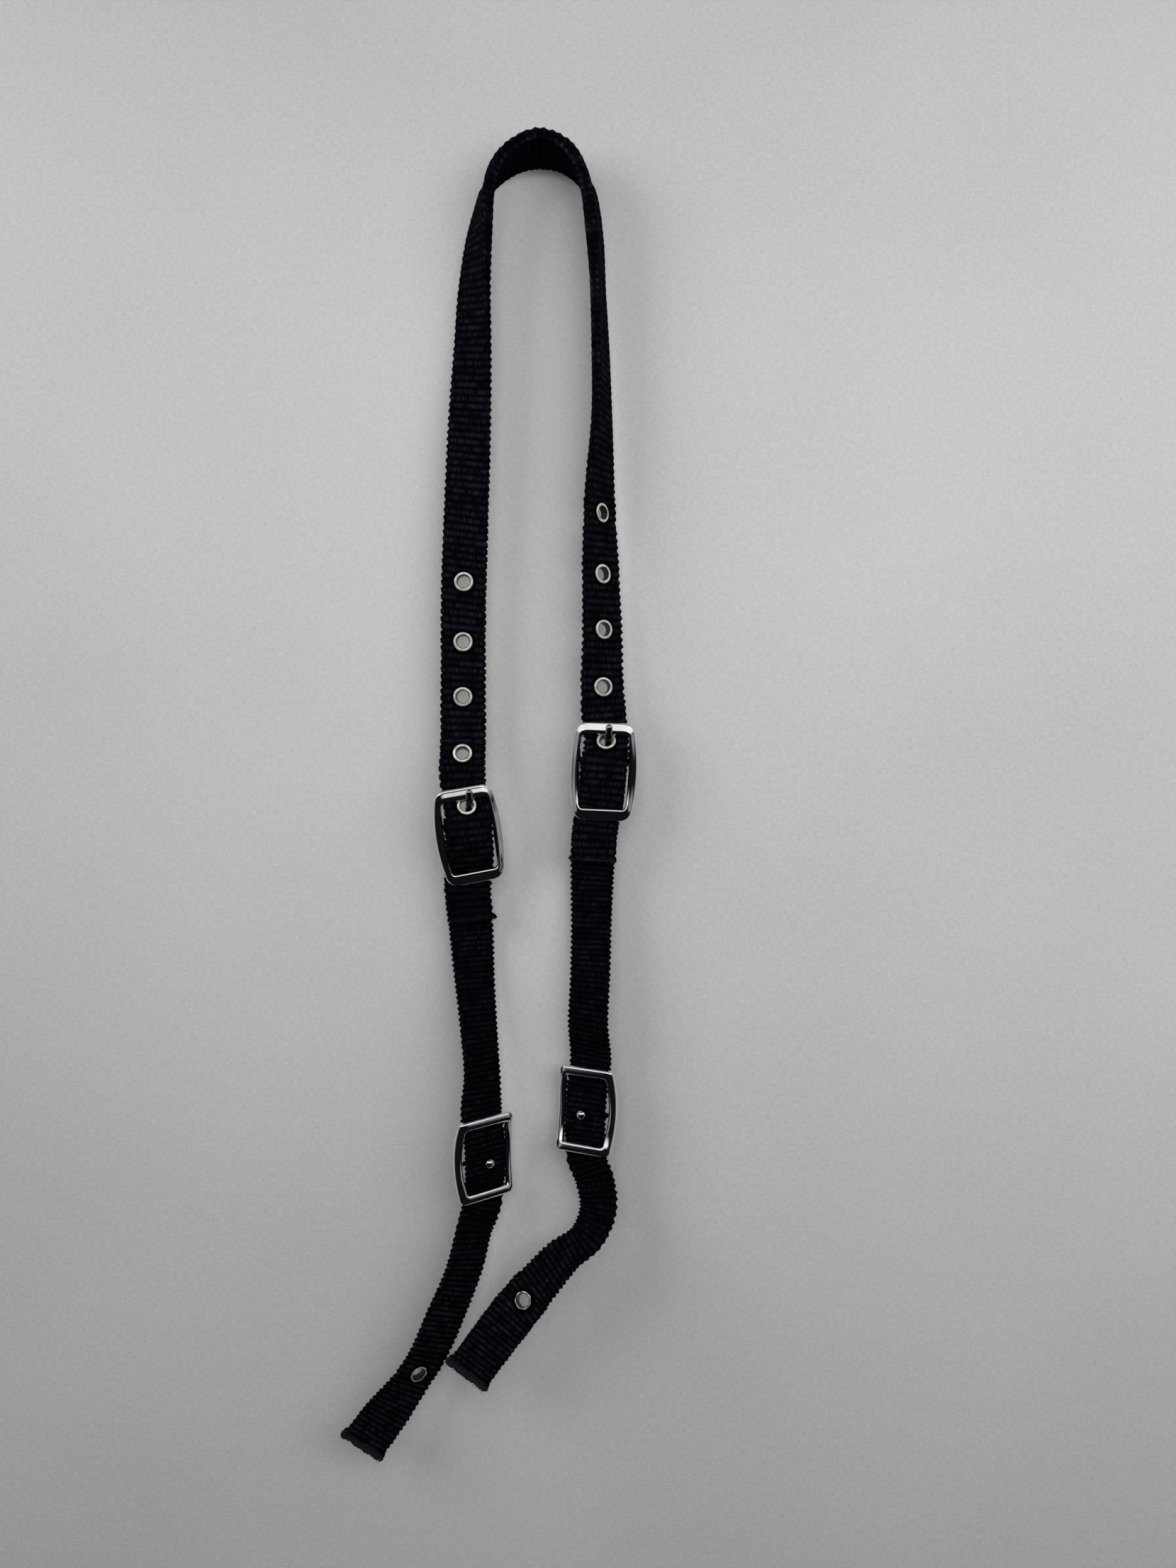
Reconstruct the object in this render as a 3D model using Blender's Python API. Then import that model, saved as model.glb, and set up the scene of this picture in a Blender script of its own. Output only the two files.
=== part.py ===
"""Webbing headstall: one crown strap over the poll, buckled at both ends to a cheek strap.

Metres, +Z up, +X to the viewer's right, +Y away from the viewer. The origin is the point where
the crown rests on whatever carries it. Each crown end is pierced by eyelets and held by a tongue
buckle; each cheek strap is looped round that buckle's centre bar, threads a stud buckle below and
ends in a bit tab with one eyelet.
"""
import math

import bmesh
import bpy
from mathutils import Matrix, Vector

# Webbing
WEBBING_WIDTH = 0.0195
WEBBING_THICKNESS = 0.0026
WEBBING_EDGE_ROUND = 0.0009
CONTACT_GAP = 0.0003
LONGEST_STEP = 0.008
TURN_PER_STEP = math.radians(11.0)
TONGUE_TURN_PER_STEP = math.radians(19.0)

# Eyelets: a barrel through the webbing with a domed front flange and a crimped back flange
EYELET_BORE = 0.0056
EYELET_WALL = 0.00035
EYELET_FRONT_FLANGE = 0.0084
EYELET_BACK_FLANGE = 0.0077
EYELET_FLANGE_THICKNESS = 0.00035
EYELET_SEAT_GAP = 0.00015
EYELET_SEGMENTS = 16
EYELET_FLAT_MARGIN = 0.0005
TAB_EYELET_FROM_END = 0.0419
TAB_END_FLAT = 0.014

# Tongue buckle: barrel-sided casting, its centre bar set back and nearer the top bar
SIDE_CLEARANCE = 0.0010
TONGUE_BUCKLE_HEIGHT = 0.0432
TONGUE_BUCKLE_BAR = 0.0056
TONGUE_BUCKLE_DEPTH = 0.0026
TONGUE_BUCKLE_RAIL = 0.0033
TONGUE_BUCKLE_END_RAIL = 0.0013
TONGUE_BUCKLE_SWELL = 0.0006
TONGUE_BUCKLE_RAIL_DIP = 0.0020
TONGUE_BUCKLE_CORNER = 0.0050
CENTRE_BAR_DIAMETER = 0.0032
CENTRE_BAR_BELOW_TOP = 0.0142
CENTRE_BAR_SETBACK = 0.0036
CENTRE_BAR_LUG = 0.0052

# Tongue: flattened wire, curled round the centre bar, cranked up through the eyelet
TONGUE_WIDTH = 0.0028
TONGUE_THICKNESS = 0.0021
TONGUE_BAR_CLEARANCE = 0.0002
TONGUE_OVERHANG = 0.0018
TONGUE_SLOT_WIDTH = 0.0062
TONGUE_SLOT_BELOW_BAR = 0.0052

# Stud buckle: small rectangular frame with rails bowed back and a ball stud on the centre bar
STUD_BUCKLE_HEIGHT = 0.0376
STUD_BUCKLE_BAR = 0.0042
STUD_BUCKLE_DEPTH = 0.0034
STUD_BUCKLE_RAIL = 0.0036
STUD_BUCKLE_SWELL = 0.0005
STUD_BUCKLE_RAIL_DIP = 0.0036
STUD_BUCKLE_CORNER = 0.0030
STUD_SIDE_CLEARANCE = 0.00045
STUD_BAR_DIAMETER = 0.0029
STUD_BAR_DROP = 0.0015
STUD_BALL_DIAMETER = 0.0043
STUD_NECK_DIAMETER = 0.0022
STUD_HOLE_CLEARANCE = 0.0004
STUD_LIFT = 0.0004

# How each buckle hangs: centre, then roll, pitch and yaw in degrees
TONGUE_BUCKLES = {
    "left": ((-0.0301, -0.0049, -0.3037), 10.0, 9.0, 14.0),
    "right": ((0.0285, -0.0049, -0.2757), -2.4, 0.0, -3.0),
}
STUD_BUCKLES = {
    "left": ((-0.0228, -0.0037, -0.4450), 4.5, 6.0, 34.0),
    "right": ((0.0200, -0.0009, -0.4249), -1.0, -4.0, -27.0),
}

# The tongue leans a little in its eyelet: its shift across the buckle at the bar and at the tip
TONGUE_SHIFT = {"left": (0.0009, 0.0026), "right": (0.0009, 0.0018)}

# The straps wander across each tongue buckle: (height above its middle, shift to the right)
STRAP_DRIFT = {
    "left": [(0.0245, 0.0014), (0.0130, 0.0007), (0.0080, 0.0006), (0.0046, 0.0003), (-0.0105, -0.0007),
             (-0.0160, -0.0015), (-0.0216, -0.0032), (-0.0280, -0.0041), (-0.0400, -0.0052)],
    "right": [(0.0245, -0.0011), (0.0175, -0.0002), (0.0130, 0.0006), (0.0080, 0.0005), (0.0046, 0.0002),
              (-0.0105, -0.0007), (-0.0160, -0.0014), (-0.0216, -0.0025), (-0.0280, -0.0031),
              (-0.0400, -0.0031)],
}

# Crown: half the route over the peg, then each leg down to its buckle.
# Each knot is a point and the heading of the strap's width, in degrees from +X.
CROWN_TOP = [((0.0, 0.0, 0.0013), 90.0)]
CROWN_LEFT = [
    ((-0.0112, 0.0, -0.0038), 90.0),
    ((-0.0208, 0.0, -0.0162), 95.0),
    ((-0.0246, 0.0, -0.0240), 103.0),
    ((-0.0266, 0.0, -0.0338), 114.0),
    ((-0.0284, 0.0003, -0.0580), 130.0),
    ((-0.0295, 0.0003, -0.0901), 144.0),
    ((-0.0305, 0.0003, -0.1152), 157.0),
    ((-0.0317, 0.0003, -0.1500), 172.0),
    ((-0.0331, 0.0003, -0.1903), 180.0),
    ((-0.0335, 0.0004, -0.2300), 181.0),
    ((-0.0335, 0.0005, -0.2600), 180.0),
]
CROWN_RIGHT = [
    ((0.0103, 0.0, -0.0035), 90.0),
    ((0.0195, 0.0, -0.0148), 86.0),
    ((0.0230, 0.0, -0.0235), 82.5),
    ((0.0246, 0.0, -0.0338), 80.0),
    ((0.0260, 0.0003, -0.0600), 80.0),
    ((0.0273, 0.0003, -0.0901), 76.0),
    ((0.0279, 0.0003, -0.1200), 71.0),
    ((0.0269, 0.0003, -0.1550), 54.0),
    ((0.0273, 0.0003, -0.1860), 39.0),
    ((0.0280, 0.0004, -0.2154), 30.0),
    ((0.0280, 0.0005, -0.2383), 17.0),
]
CROWN_TAIL_LENGTH = {"left": 0.0169, "right": 0.0183}
CROWN_TAIL_FORWARD = {"left": 0.0026, "right": 0.0}
CROWN_EYELET_HEIGHTS = {
    "left": (-0.1918, -0.2188, -0.2424, -0.2677),
    "right": (-0.1617, -0.1888, -0.2135, -0.2383),
}

# Cheek straps: free run between the buckles, then the bit tab below the stud buckle
FOLD_LENGTH = 0.006
CHEEK_RUN = {
    "left": [
        ((-0.0305, 0.0068, -0.3470), 20.0),
        ((-0.0288, 0.0042, -0.3670), 36.0),
        ((-0.0264, -0.0002, -0.3900), 46.0),
        ((-0.0248, -0.0028, -0.4100), 45.0),
    ],
    "right": [
        ((0.0236, 0.0050, -0.3200), -19.0),
        ((0.0232, 0.0040, -0.3390), -27.0),
        ((0.0226, 0.0012, -0.3650), -32.0),
        ((0.0217, -0.0002, -0.3880), -32.0),
    ],
}
BIT_TAB = {
    "left": [
        ((-0.0286, 0.0000, -0.4780), 42.0),
        ((-0.0326, -0.0010, -0.4940), 40.0),
        ((-0.0402, -0.0022, -0.5128), 34.0),
        ((-0.0500, -0.0036, -0.5340), 33.0),
        ((-0.0576, -0.0042, -0.5450), 27.0),
        ((-0.0680, -0.0044, -0.5585), 8.0),
        ((-0.0781, -0.0044, -0.5721), 4.0),
    ],
    "right": [
        ((0.0246, 0.0004, -0.4560), -31.0),
        ((0.0260, -0.0026, -0.4680), -41.0),
        ((0.0213, -0.0066, -0.4780), -47.0),
        ((0.0108, -0.0094, -0.4858), -41.0),
        ((-0.0002, -0.0108, -0.4974), -32.0),
        ((-0.0093, -0.0113, -0.5080), -10.0),
        ((-0.0316, -0.0114, -0.5374), 0.0),
    ],
}

SIDES = ("left", "right")


# Materials

def finish(name, colour, roughness, metallic):
    material = bpy.data.materials.new(name)
    material.use_nodes = True
    shader = material.node_tree.nodes["Principled BSDF"]
    shader.inputs["Base Color"].default_value = (*colour, 1.0)
    shader.inputs["Roughness"].default_value = roughness
    shader.inputs["Metallic"].default_value = metallic
    return material


# Meshes

def clear_scene():
    for item in list(bpy.data.objects):
        bpy.data.objects.remove(item, do_unlink=True)


def add_object(name, mesh_data, material=None, cutter=False):
    """Turns a bmesh into a named object; a cutter is only a guide for a Boolean."""
    bmesh.ops.recalc_face_normals(mesh_data, faces=mesh_data.faces)
    mesh = bpy.data.meshes.new(name)
    mesh_data.to_mesh(mesh)
    mesh_data.free()
    mesh.shade_smooth()
    mesh.set_sharp_from_angle(angle=math.radians(40.0))
    item = bpy.data.objects.new(name, mesh)
    bpy.context.scene.collection.objects.link(item)
    if material:
        mesh.materials.append(material)
    if cutter:
        item.hide_render = True
        item.display_type = "WIRE"
    return item


def add_rings(mesh_data, rings, closed=False):
    """Skins a list of point rings, each of the same count; open runs get flat caps."""
    skins = [[mesh_data.verts.new(point) for point in ring] for ring in rings]
    count = len(skins[0])
    pairs = list(zip(skins, skins[1:]))
    if closed:
        pairs.append((skins[-1], skins[0]))
    for near, far in pairs:
        for i in range(count):
            j = (i + 1) % count
            mesh_data.faces.new((near[i], near[j], far[j], far[i]))
    if not closed:
        mesh_data.faces.new(skins[0])
        mesh_data.faces.new(skins[-1])


def combine(item, other, operation):
    change = item.modifiers.new(operation.lower(), "BOOLEAN")
    change.operation = operation
    change.object = other
    change.solver = "EXACT"


def add_cylinder(mesh_data, place, radius, half_length, segments):
    """Adds a closed cylinder along the placed Z axis."""
    ring = [
        (radius * math.cos(math.tau * i / segments), radius * math.sin(math.tau * i / segments))
        for i in range(segments)
    ]
    add_rings(mesh_data, [[place @ Vector((x, y, z)) for x, y in ring] for z in (-half_length, half_length)])


def add_box(mesh_data, place, low, high):
    corners = [(low[0], low[1]), (high[0], low[1]), (high[0], high[1]), (low[0], high[1])]
    add_rings(mesh_data, [[place @ Vector((x, y, z)) for x, y in corners] for z in (low[2], high[2])])


# Routes

class Route:
    """A smooth line through a few knots that also carries the strap's width direction."""

    def __init__(self, knots):
        points = [Vector(point) for point, across in knots]
        acrosses = [Vector(across) for point, across in knots]
        self.points = []
        self.acrosses = []
        spans = 24
        for i in range(len(points) - 1):
            for k in range(spans + (i == len(points) - 2)):
                share = k / spans
                self.points.append(blend_span(points, points, i, share))
                self.acrosses.append(blend_span(points, acrosses, i, share).normalized())
        self.lengths = [0.0]
        for near, far in zip(self.points, self.points[1:]):
            self.lengths.append(self.lengths[-1] + (far - near).length)

    @property
    def length(self):
        return self.lengths[-1]

    def tangent(self, i):
        near = max(i - 1, 0)
        far = min(i + 1, len(self.points) - 1)
        return (self.points[far] - self.points[near]).normalized()

    def place(self, i):
        """Pose at sample i: X across, Y along, Z out of the strap's outer face."""
        along = self.tangent(i)
        across = self.acrosses[i]
        across = (across - along * across.dot(along)).normalized()
        out = along.cross(across)
        pose = Matrix((across, along, out)).transposed().to_4x4()
        pose.translation = self.points[i]
        return pose

    def place_at(self, distance):
        return self.place(min(range(len(self.lengths)), key=lambda i: abs(self.lengths[i] - distance)))

    def distance_near(self, point):
        best = min(range(len(self.points)), key=lambda i: (self.points[i] - point).length)
        return self.lengths[best]

    def distance_at_height(self, height, nearest_x):
        """Where the line passes the given height on the side of nearest_x."""
        side = [i for i, point in enumerate(self.points) if point.x * nearest_x > 0]
        return self.lengths[min(side, key=lambda i: abs(self.points[i].z - height))]

    def stations(self, turn_per_step=TURN_PER_STEP):
        """Samples close enough together to keep every bend round."""
        chosen = [0]
        turn = 0.0
        for i in range(1, len(self.points) - 1):
            turn += self.tangent(i).angle(self.tangent(i - 1))
            run = self.lengths[i] - self.lengths[chosen[-1]]
            if turn >= turn_per_step or run >= LONGEST_STEP:
                chosen.append(i)
                turn = 0.0
        chosen.append(len(self.points) - 1)
        return chosen

    def poses(self, flats=()):
        """Poses along the line; each flat is a distance and a half length kept dead straight."""
        poses = {}
        for i in self.stations():
            distance = self.lengths[i]
            if all(abs(distance - centre) > reach + EYELET_FLAT_MARGIN * 2 for centre, reach in flats):
                poses[distance] = self.place(i)
        for centre, reach in flats:
            for step in (-reach, reach):
                poses[centre + step] = self.place_at(centre) @ Matrix.Translation((0.0, step, 0.0))
        return [poses[distance] for distance in sorted(poses)]


def blend_span(knots, values, i, share):
    """Cubic through values[i] and values[i + 1], spaced by the distance between the knots."""
    span = (knots[i + 1] - knots[i]).length
    slopes = []
    for j in (i, i + 1):
        if 0 < j < len(knots) - 1:
            before = (knots[j] - knots[j - 1]).length
            after = (knots[j + 1] - knots[j]).length
            rise = (values[j] - values[j - 1]) / before * after + (values[j + 1] - values[j]) / after * before
            slopes.append(rise / (before + after) * span)
        else:
            k = min(j, len(knots) - 2)
            slopes.append((values[k + 1] - values[k]) / (knots[k + 1] - knots[k]).length * span)
    s2 = share * share
    s3 = s2 * share
    return (
        values[i] * (2 * s3 - 3 * s2 + 1)
        + slopes[0] * (s3 - 2 * s2 + share)
        + values[i + 1] * (3 * s2 - 2 * s3)
        + slopes[1] * (s3 - s2)
    )


def heading(degrees):
    angle = math.radians(degrees)
    return Vector((math.cos(angle), math.sin(angle), 0.0))


def with_headings(knots):
    return [(Vector(point), heading(degrees)) for point, degrees in knots]


def buckle_pose(spec):
    """Local X across the buckle, Y up the strap and Z towards the viewer."""
    centre, roll, pitch, yaw = spec
    turn = Matrix.Rotation(math.radians(yaw), 4, "Z") @ Matrix.Rotation(math.radians(pitch), 4, "X")
    turn = turn @ Matrix.Rotation(math.radians(-roll), 4, "Y") @ Matrix.Rotation(math.radians(90.0), 4, "X")
    return Matrix.Translation(centre) @ turn


def local_knots(pose, points, flip=1.0):
    """Knots given in a buckle's own frame, the strap's width along the buckle's X."""
    across = (pose.to_3x3() @ Vector((flip, 0.0, 0.0))).normalized()
    return [(pose @ Vector(point), across) for point in points]


# Straps through the tongue buckle, seen from the side: (along, depth) in the buckle's frame

def bar_offset(half_height, half_depth, tilt):
    """How far an oval bar reaches towards a plane that leans by tilt behind it."""
    return math.hypot(half_height * math.sin(tilt), half_depth * math.cos(tilt))


TOP_BAR_AT = TONGUE_BUCKLE_HEIGHT / 2 - TONGUE_BUCKLE_BAR / 2
CENTRE_BAR_HEIGHT = TOP_BAR_AT - CENTRE_BAR_BELOW_TOP
EYELET_TILT = math.radians(29.0)
EYELET_BELOW_BAR = 0.0031
EYELET_AT = TOP_BAR_AT - TONGUE_BUCKLE_BAR / 2 - EYELET_BELOW_BAR
EYELET_REACH = EYELET_FRONT_FLANGE / 2 + EYELET_FLAT_MARGIN
FLANGE_RISE = EYELET_SEAT_GAP + EYELET_FLANGE_THICKNESS
HALF_WEBBING = WEBBING_THICKNESS / 2
LAYER = WEBBING_THICKNESS + CONTACT_GAP
LOOP_RADIUS = CENTRE_BAR_DIAMETER / 2 + CONTACT_GAP + HALF_WEBBING
OVER_RADIUS = LOOP_RADIUS + LAYER
BEHIND_BAR = -(TONGUE_BUCKLE_DEPTH / 2 + CONTACT_GAP + HALF_WEBBING)


def eyelet_depth():
    """Depth of the pierced strap where the tongue's eyelet just clears the top bar."""
    reach = TOP_BAR_AT * math.sin(EYELET_TILT)
    reach -= bar_offset(TONGUE_BUCKLE_BAR / 2, TONGUE_BUCKLE_DEPTH / 2, EYELET_TILT)
    reach -= EYELET_SEAT_GAP + HALF_WEBBING + FLANGE_RISE
    return (reach - EYELET_AT * math.sin(EYELET_TILT)) / math.cos(EYELET_TILT)


def eyelet_line(distance):
    """A point of the tilted stretch through the eyelet, measured down the strap from it."""
    along = EYELET_AT - distance * math.cos(EYELET_TILT)
    return along, eyelet_depth() + distance * math.sin(EYELET_TILT)


def round_bar(radius, degrees):
    """A point round the centre bar; 0 is towards the viewer and 90 is up."""
    angle = math.radians(degrees)
    return CENTRE_BAR_HEIGHT + radius * math.sin(angle), -CENTRE_BAR_SETBACK + radius * math.cos(angle)


def below_centre_bar(share):
    """A height between the centre bar (share 0) and the bottom bar (share 1)."""
    return CENTRE_BAR_HEIGHT - (CENTRE_BAR_HEIGHT + TOP_BAR_AT) * share


def drift_at(side, height):
    table = STRAP_DRIFT[side]
    for (upper, first), (lower, second) in zip(table, table[1:]):
        if height >= lower:
            return first + (second - first) * min(max((upper - height) / (upper - lower), 0.0), 1.0)
    return table[-1][1]


def drifting(side, profile):
    return [(drift_at(side, height), height, depth) for height, depth in profile]


def crown_end_knots(side):
    """The crown from above the top bar to its heat-sealed end, outer face to the viewer."""
    upper = eyelet_line(-EYELET_REACH)
    bar = -TOP_BAR_AT
    fall = OVER_RADIUS - CENTRE_BAR_SETBACK - BEHIND_BAR
    return drifting(side, [
        (upper[0] + 0.0072, upper[1] - 0.0020),
        (upper[0] + 0.0010, upper[1] - 0.0005),
        eyelet_line(0.0),
        eyelet_line(EYELET_REACH),
        round_bar(OVER_RADIUS + 0.0002, 22.0),
        round_bar(OVER_RADIUS + 0.0002, 2.0),
        (below_centre_bar(0.37), BEHIND_BAR + fall * 0.87),
        (below_centre_bar(0.645), BEHIND_BAR + fall * 0.50),
        (bar + TONGUE_BUCKLE_BAR * 0.5, BEHIND_BAR + fall * 0.04),
        (bar, BEHIND_BAR - 0.0002),
        (bar - TONGUE_BUCKLE_BAR * 0.6, BEHIND_BAR - 0.0001),
        (bar - TONGUE_BUCKLE_BAR / 2 - CROWN_TAIL_LENGTH[side], BEHIND_BAR + CROWN_TAIL_FORWARD[side]),
    ])


def cheek_fold_knots(side):
    """The cheek strap's fold round the centre bar: loose end behind, loop, then the front layer."""
    bar = -TOP_BAR_AT
    fall = OVER_RADIUS - CENTRE_BAR_SETBACK - BEHIND_BAR
    front = BEHIND_BAR - LAYER
    back = front - LAYER
    shift = drift_at(side, CENTRE_BAR_HEIGHT)
    loop = [(shift, *round_bar(LOOP_RADIUS, 180.0 - 45.0 * k)) for k in range(5)]
    behind = [
        (bar - TONGUE_BUCKLE_BAR / 2 - FOLD_LENGTH, back - 0.0022),
        (bar - TONGUE_BUCKLE_BAR / 2, back - 0.0014),
        (below_centre_bar(0.645), back + 0.0004),
        (below_centre_bar(0.28), -CENTRE_BAR_SETBACK - LOOP_RADIUS - 0.0006),
    ]
    ahead = [
        (below_centre_bar(0.37), BEHIND_BAR + fall * 0.87 - LAYER - 0.0003),
        (below_centre_bar(0.645), BEHIND_BAR + fall * 0.50 - LAYER - 0.0006),
        (bar + TONGUE_BUCKLE_BAR * 0.5, front + fall * 0.04 - 0.0005),
        (bar - TONGUE_BUCKLE_BAR * 0.5, front - 0.0005),
    ]
    return drifting(side, behind) + loop + drifting(side, ahead)


def stud_weave_knots():
    """The cheek strap behind the top bar, over the centre bar and behind the bottom bar."""
    bar = STUD_BUCKLE_HEIGHT / 2 - STUD_BUCKLE_BAR / 2
    behind = -(STUD_BUCKLE_DEPTH / 2 + CONTACT_GAP + HALF_WEBBING)
    over = -STUD_BUCKLE_RAIL_DIP - STUD_LIFT + STUD_BAR_DIAMETER / 2 + CONTACT_GAP + HALF_WEBBING
    return [
        (0.0, bar + 0.0040, behind - 0.0007),
        (0.0, bar, behind - 0.0003),
        (0.0, bar * 0.48, (over + behind) / 2 + 0.0006),
        (0.0, -STUD_BAR_DROP, over),
        (0.0, -bar * 0.6, (over + behind) / 2 + 0.0006),
        (0.0, -bar, behind - 0.0003),
        (0.0, -bar - 0.0040, behind - 0.0007),
    ]


def crown_route():
    left_pose = buckle_pose(TONGUE_BUCKLES["left"])
    right_pose = buckle_pose(TONGUE_BUCKLES["right"])
    left_end = local_knots(left_pose, crown_end_knots("left"), -1.0)
    right_end = local_knots(right_pose, crown_end_knots("right"))
    return Route(
        left_end[::-1]
        + with_headings(CROWN_LEFT)[::-1]
        + with_headings(CROWN_TOP)
        + with_headings(CROWN_RIGHT)
        + right_end
    )


def cheek_route(side):
    fold = local_knots(buckle_pose(TONGUE_BUCKLES[side]), cheek_fold_knots(side))
    weave = local_knots(buckle_pose(STUD_BUCKLES[side]), stud_weave_knots())
    return Route(fold + with_headings(CHEEK_RUN[side]) + weave + with_headings(BIT_TAB[side]))


# Webbing straps

def strap_section():
    half_width = WEBBING_WIDTH / 2
    inset = WEBBING_EDGE_ROUND
    quarter = [(half_width, HALF_WEBBING - inset), (half_width - inset, HALF_WEBBING)]
    left = [(-x, y) for x, y in reversed(quarter)]
    return quarter + left + [(x, -y) for x, y in reversed(left)] + [(x, -y) for x, y in reversed(quarter)]


def add_strap(name, route, flats, material, holes):
    """Sweeps the webbing's section along its route, then cuts the holes out of it."""
    section = strap_section()
    solid = bmesh.new()
    add_rings(solid, [[pose @ Vector((x, 0.0, z)) for x, z in section] for pose in route.poses(flats)])
    strap = add_object(name, solid, material)
    combine(strap, add_object(name + "_holes", holes, cutter=True), "DIFFERENCE")
    return strap


def eyelet_profile():
    """Radius and height round the eyelet's axis, front flange up."""
    bore = EYELET_BORE / 2
    barrel = bore + EYELET_WALL
    front = EYELET_FRONT_FLANGE / 2
    back = EYELET_BACK_FLANGE / 2
    seat = HALF_WEBBING + EYELET_SEAT_GAP
    crest = seat + EYELET_FLANGE_THICKNESS
    return [
        (bore, crest - 0.00012),
        (barrel + 0.0003, crest),
        (front - 0.0002, seat + EYELET_FLANGE_THICKNESS * 0.6),
        (front, seat),
        (barrel, seat),
        (barrel, -seat),
        (back, -seat),
        (back - 0.0003, -crest),
        (bore, -crest + 0.00012),
    ]


def add_eyelet(name, place, material):
    solid = bmesh.new()
    profile = eyelet_profile()
    rings = []
    for i in range(EYELET_SEGMENTS):
        angle = math.tau * i / EYELET_SEGMENTS
        rings.append([place @ Vector((r * math.cos(angle), r * math.sin(angle), z)) for r, z in profile])
    add_rings(solid, rings, closed=True)
    return add_object(name, solid, material)


def punch_eyelet_hole(holes, place):
    radius = EYELET_BORE / 2 + EYELET_WALL + EYELET_SEAT_GAP
    add_cylinder(holes, place, radius, WEBBING_THICKNESS, EYELET_SEGMENTS)


# Cast buckle frames

def rounded_outline(half_width, half_height, swell, corner, per_side=8, per_corner=4):
    """Rectangle with swelling long sides and rounded corners, counter-clockwise."""
    corners = [(half_width, -half_height), (half_width, half_height)]
    corners += [(-x, -y) for x, y in corners]
    outline = []
    for k in range(4):
        start = Vector(corners[k])
        end = Vector(corners[(k + 1) % 4])
        after = Vector(corners[(k + 2) % 4])
        along = (end - start).normalized()
        outward = Vector((along.y, -along.x))
        bulge = swell if k % 2 == 0 else 0.0
        length = (end - start).length
        for i in range(per_side + 1):
            share = corner / length + (1 - 2 * corner / length) * i / per_side
            outline.append(start + along * length * share + outward * bulge * 4 * share * (1 - share))
        tail = outline[-1]
        share = corner / (after - end).length
        turn = (after - end).normalized()
        next_bulge = 0.0 if k % 2 == 0 else swell
        head = end + turn * corner + Vector((turn.y, -turn.x)) * next_bulge * 4 * share * (1 - share)
        for i in range(1, per_corner):
            share = i / per_corner
            outline.append(tail * (1 - share) ** 2 + end * 2 * share * (1 - share) + head * share ** 2)
    return outline


def frame_section(inner, outer, half_depth):
    """Bezelled bar: a long slope from the thin outer edge to a crest near the inner edge."""
    shape = ((0.0, -0.10), (0.05, 0.28), (0.22, 0.58), (0.48, 0.84), (0.70, 0.98), (0.84, 0.98), (0.95, 0.66),
             (1.0, 0.0), (0.92, -0.50), (0.70, -0.94), (0.28, -0.96), (0.06, -0.55))
    return [(outer.lerp(inner, share), half_depth * height) for share, height in shape]


def add_frame(name, pose, outer, inner, half_depth, dip, inner_height, material):
    """Skins a ring of bar sections; the rails bow back between the end bars."""
    solid = bmesh.new()
    rings = []
    for near, far in zip(inner, outer):
        height = min(abs(near.y) / inner_height, 1.0)
        back = dip * (1 - height ** 2)
        section = frame_section(near, far, half_depth)
        rings.append([pose @ Vector((p.x, p.y, depth - back)) for p, depth in section])
    add_rings(solid, rings, closed=True)
    return add_object(name, solid, material)


def add_cross_bar(solid, pose, reach, clear, height, setback, bar, lug):
    """Round bar between the rails that swells into a lug at each end."""
    stations = ((-reach, lug), (-clear - 0.0011, lug), (-clear, bar))
    stations += tuple((-x, tall) for x, tall in reversed(stations))
    rings = []
    for x, tall in stations:
        ring = []
        for k in range(12):
            angle = math.tau * k / 12
            rise = tall / 2 * math.sin(angle)
            depth = (bar / 2 + (tall - bar) * 0.18) * math.cos(angle)
            ring.append(pose @ Vector((x, height + rise, depth - setback)))
        rings.append(ring)
    add_rings(solid, rings)


def opening_half_width(side_clearance):
    return WEBBING_WIDTH / 2 + side_clearance


def add_tongue_buckle(side, material):
    pose = buckle_pose(TONGUE_BUCKLES[side])
    inner_width = opening_half_width(SIDE_CLEARANCE)
    inner_height = TONGUE_BUCKLE_HEIGHT / 2 - TONGUE_BUCKLE_BAR
    outer_width = inner_width + TONGUE_BUCKLE_END_RAIL
    outer_swell = TONGUE_BUCKLE_SWELL + TONGUE_BUCKLE_RAIL - TONGUE_BUCKLE_END_RAIL
    outer = rounded_outline(outer_width, TONGUE_BUCKLE_HEIGHT / 2, outer_swell, TONGUE_BUCKLE_CORNER)
    inner = rounded_outline(inner_width, inner_height, TONGUE_BUCKLE_SWELL, TONGUE_BUCKLE_CORNER / 3)
    frame = add_frame("buckle_frame_" + side, pose, outer, inner, TONGUE_BUCKLE_DEPTH / 2,
                      TONGUE_BUCKLE_RAIL_DIP, inner_height, material)
    bar = bmesh.new()
    reach = inner_width + TONGUE_BUCKLE_SWELL + TONGUE_BUCKLE_RAIL * 0.45
    clear = WEBBING_WIDTH / 2 + SIDE_CLEARANCE * 0.4
    add_cross_bar(bar, pose, reach, clear, CENTRE_BAR_HEIGHT, CENTRE_BAR_SETBACK, CENTRE_BAR_DIAMETER,
                  CENTRE_BAR_LUG)
    combine(frame, add_object("centre_bar_" + side, bar, cutter=True), "UNION")
    return frame


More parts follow.
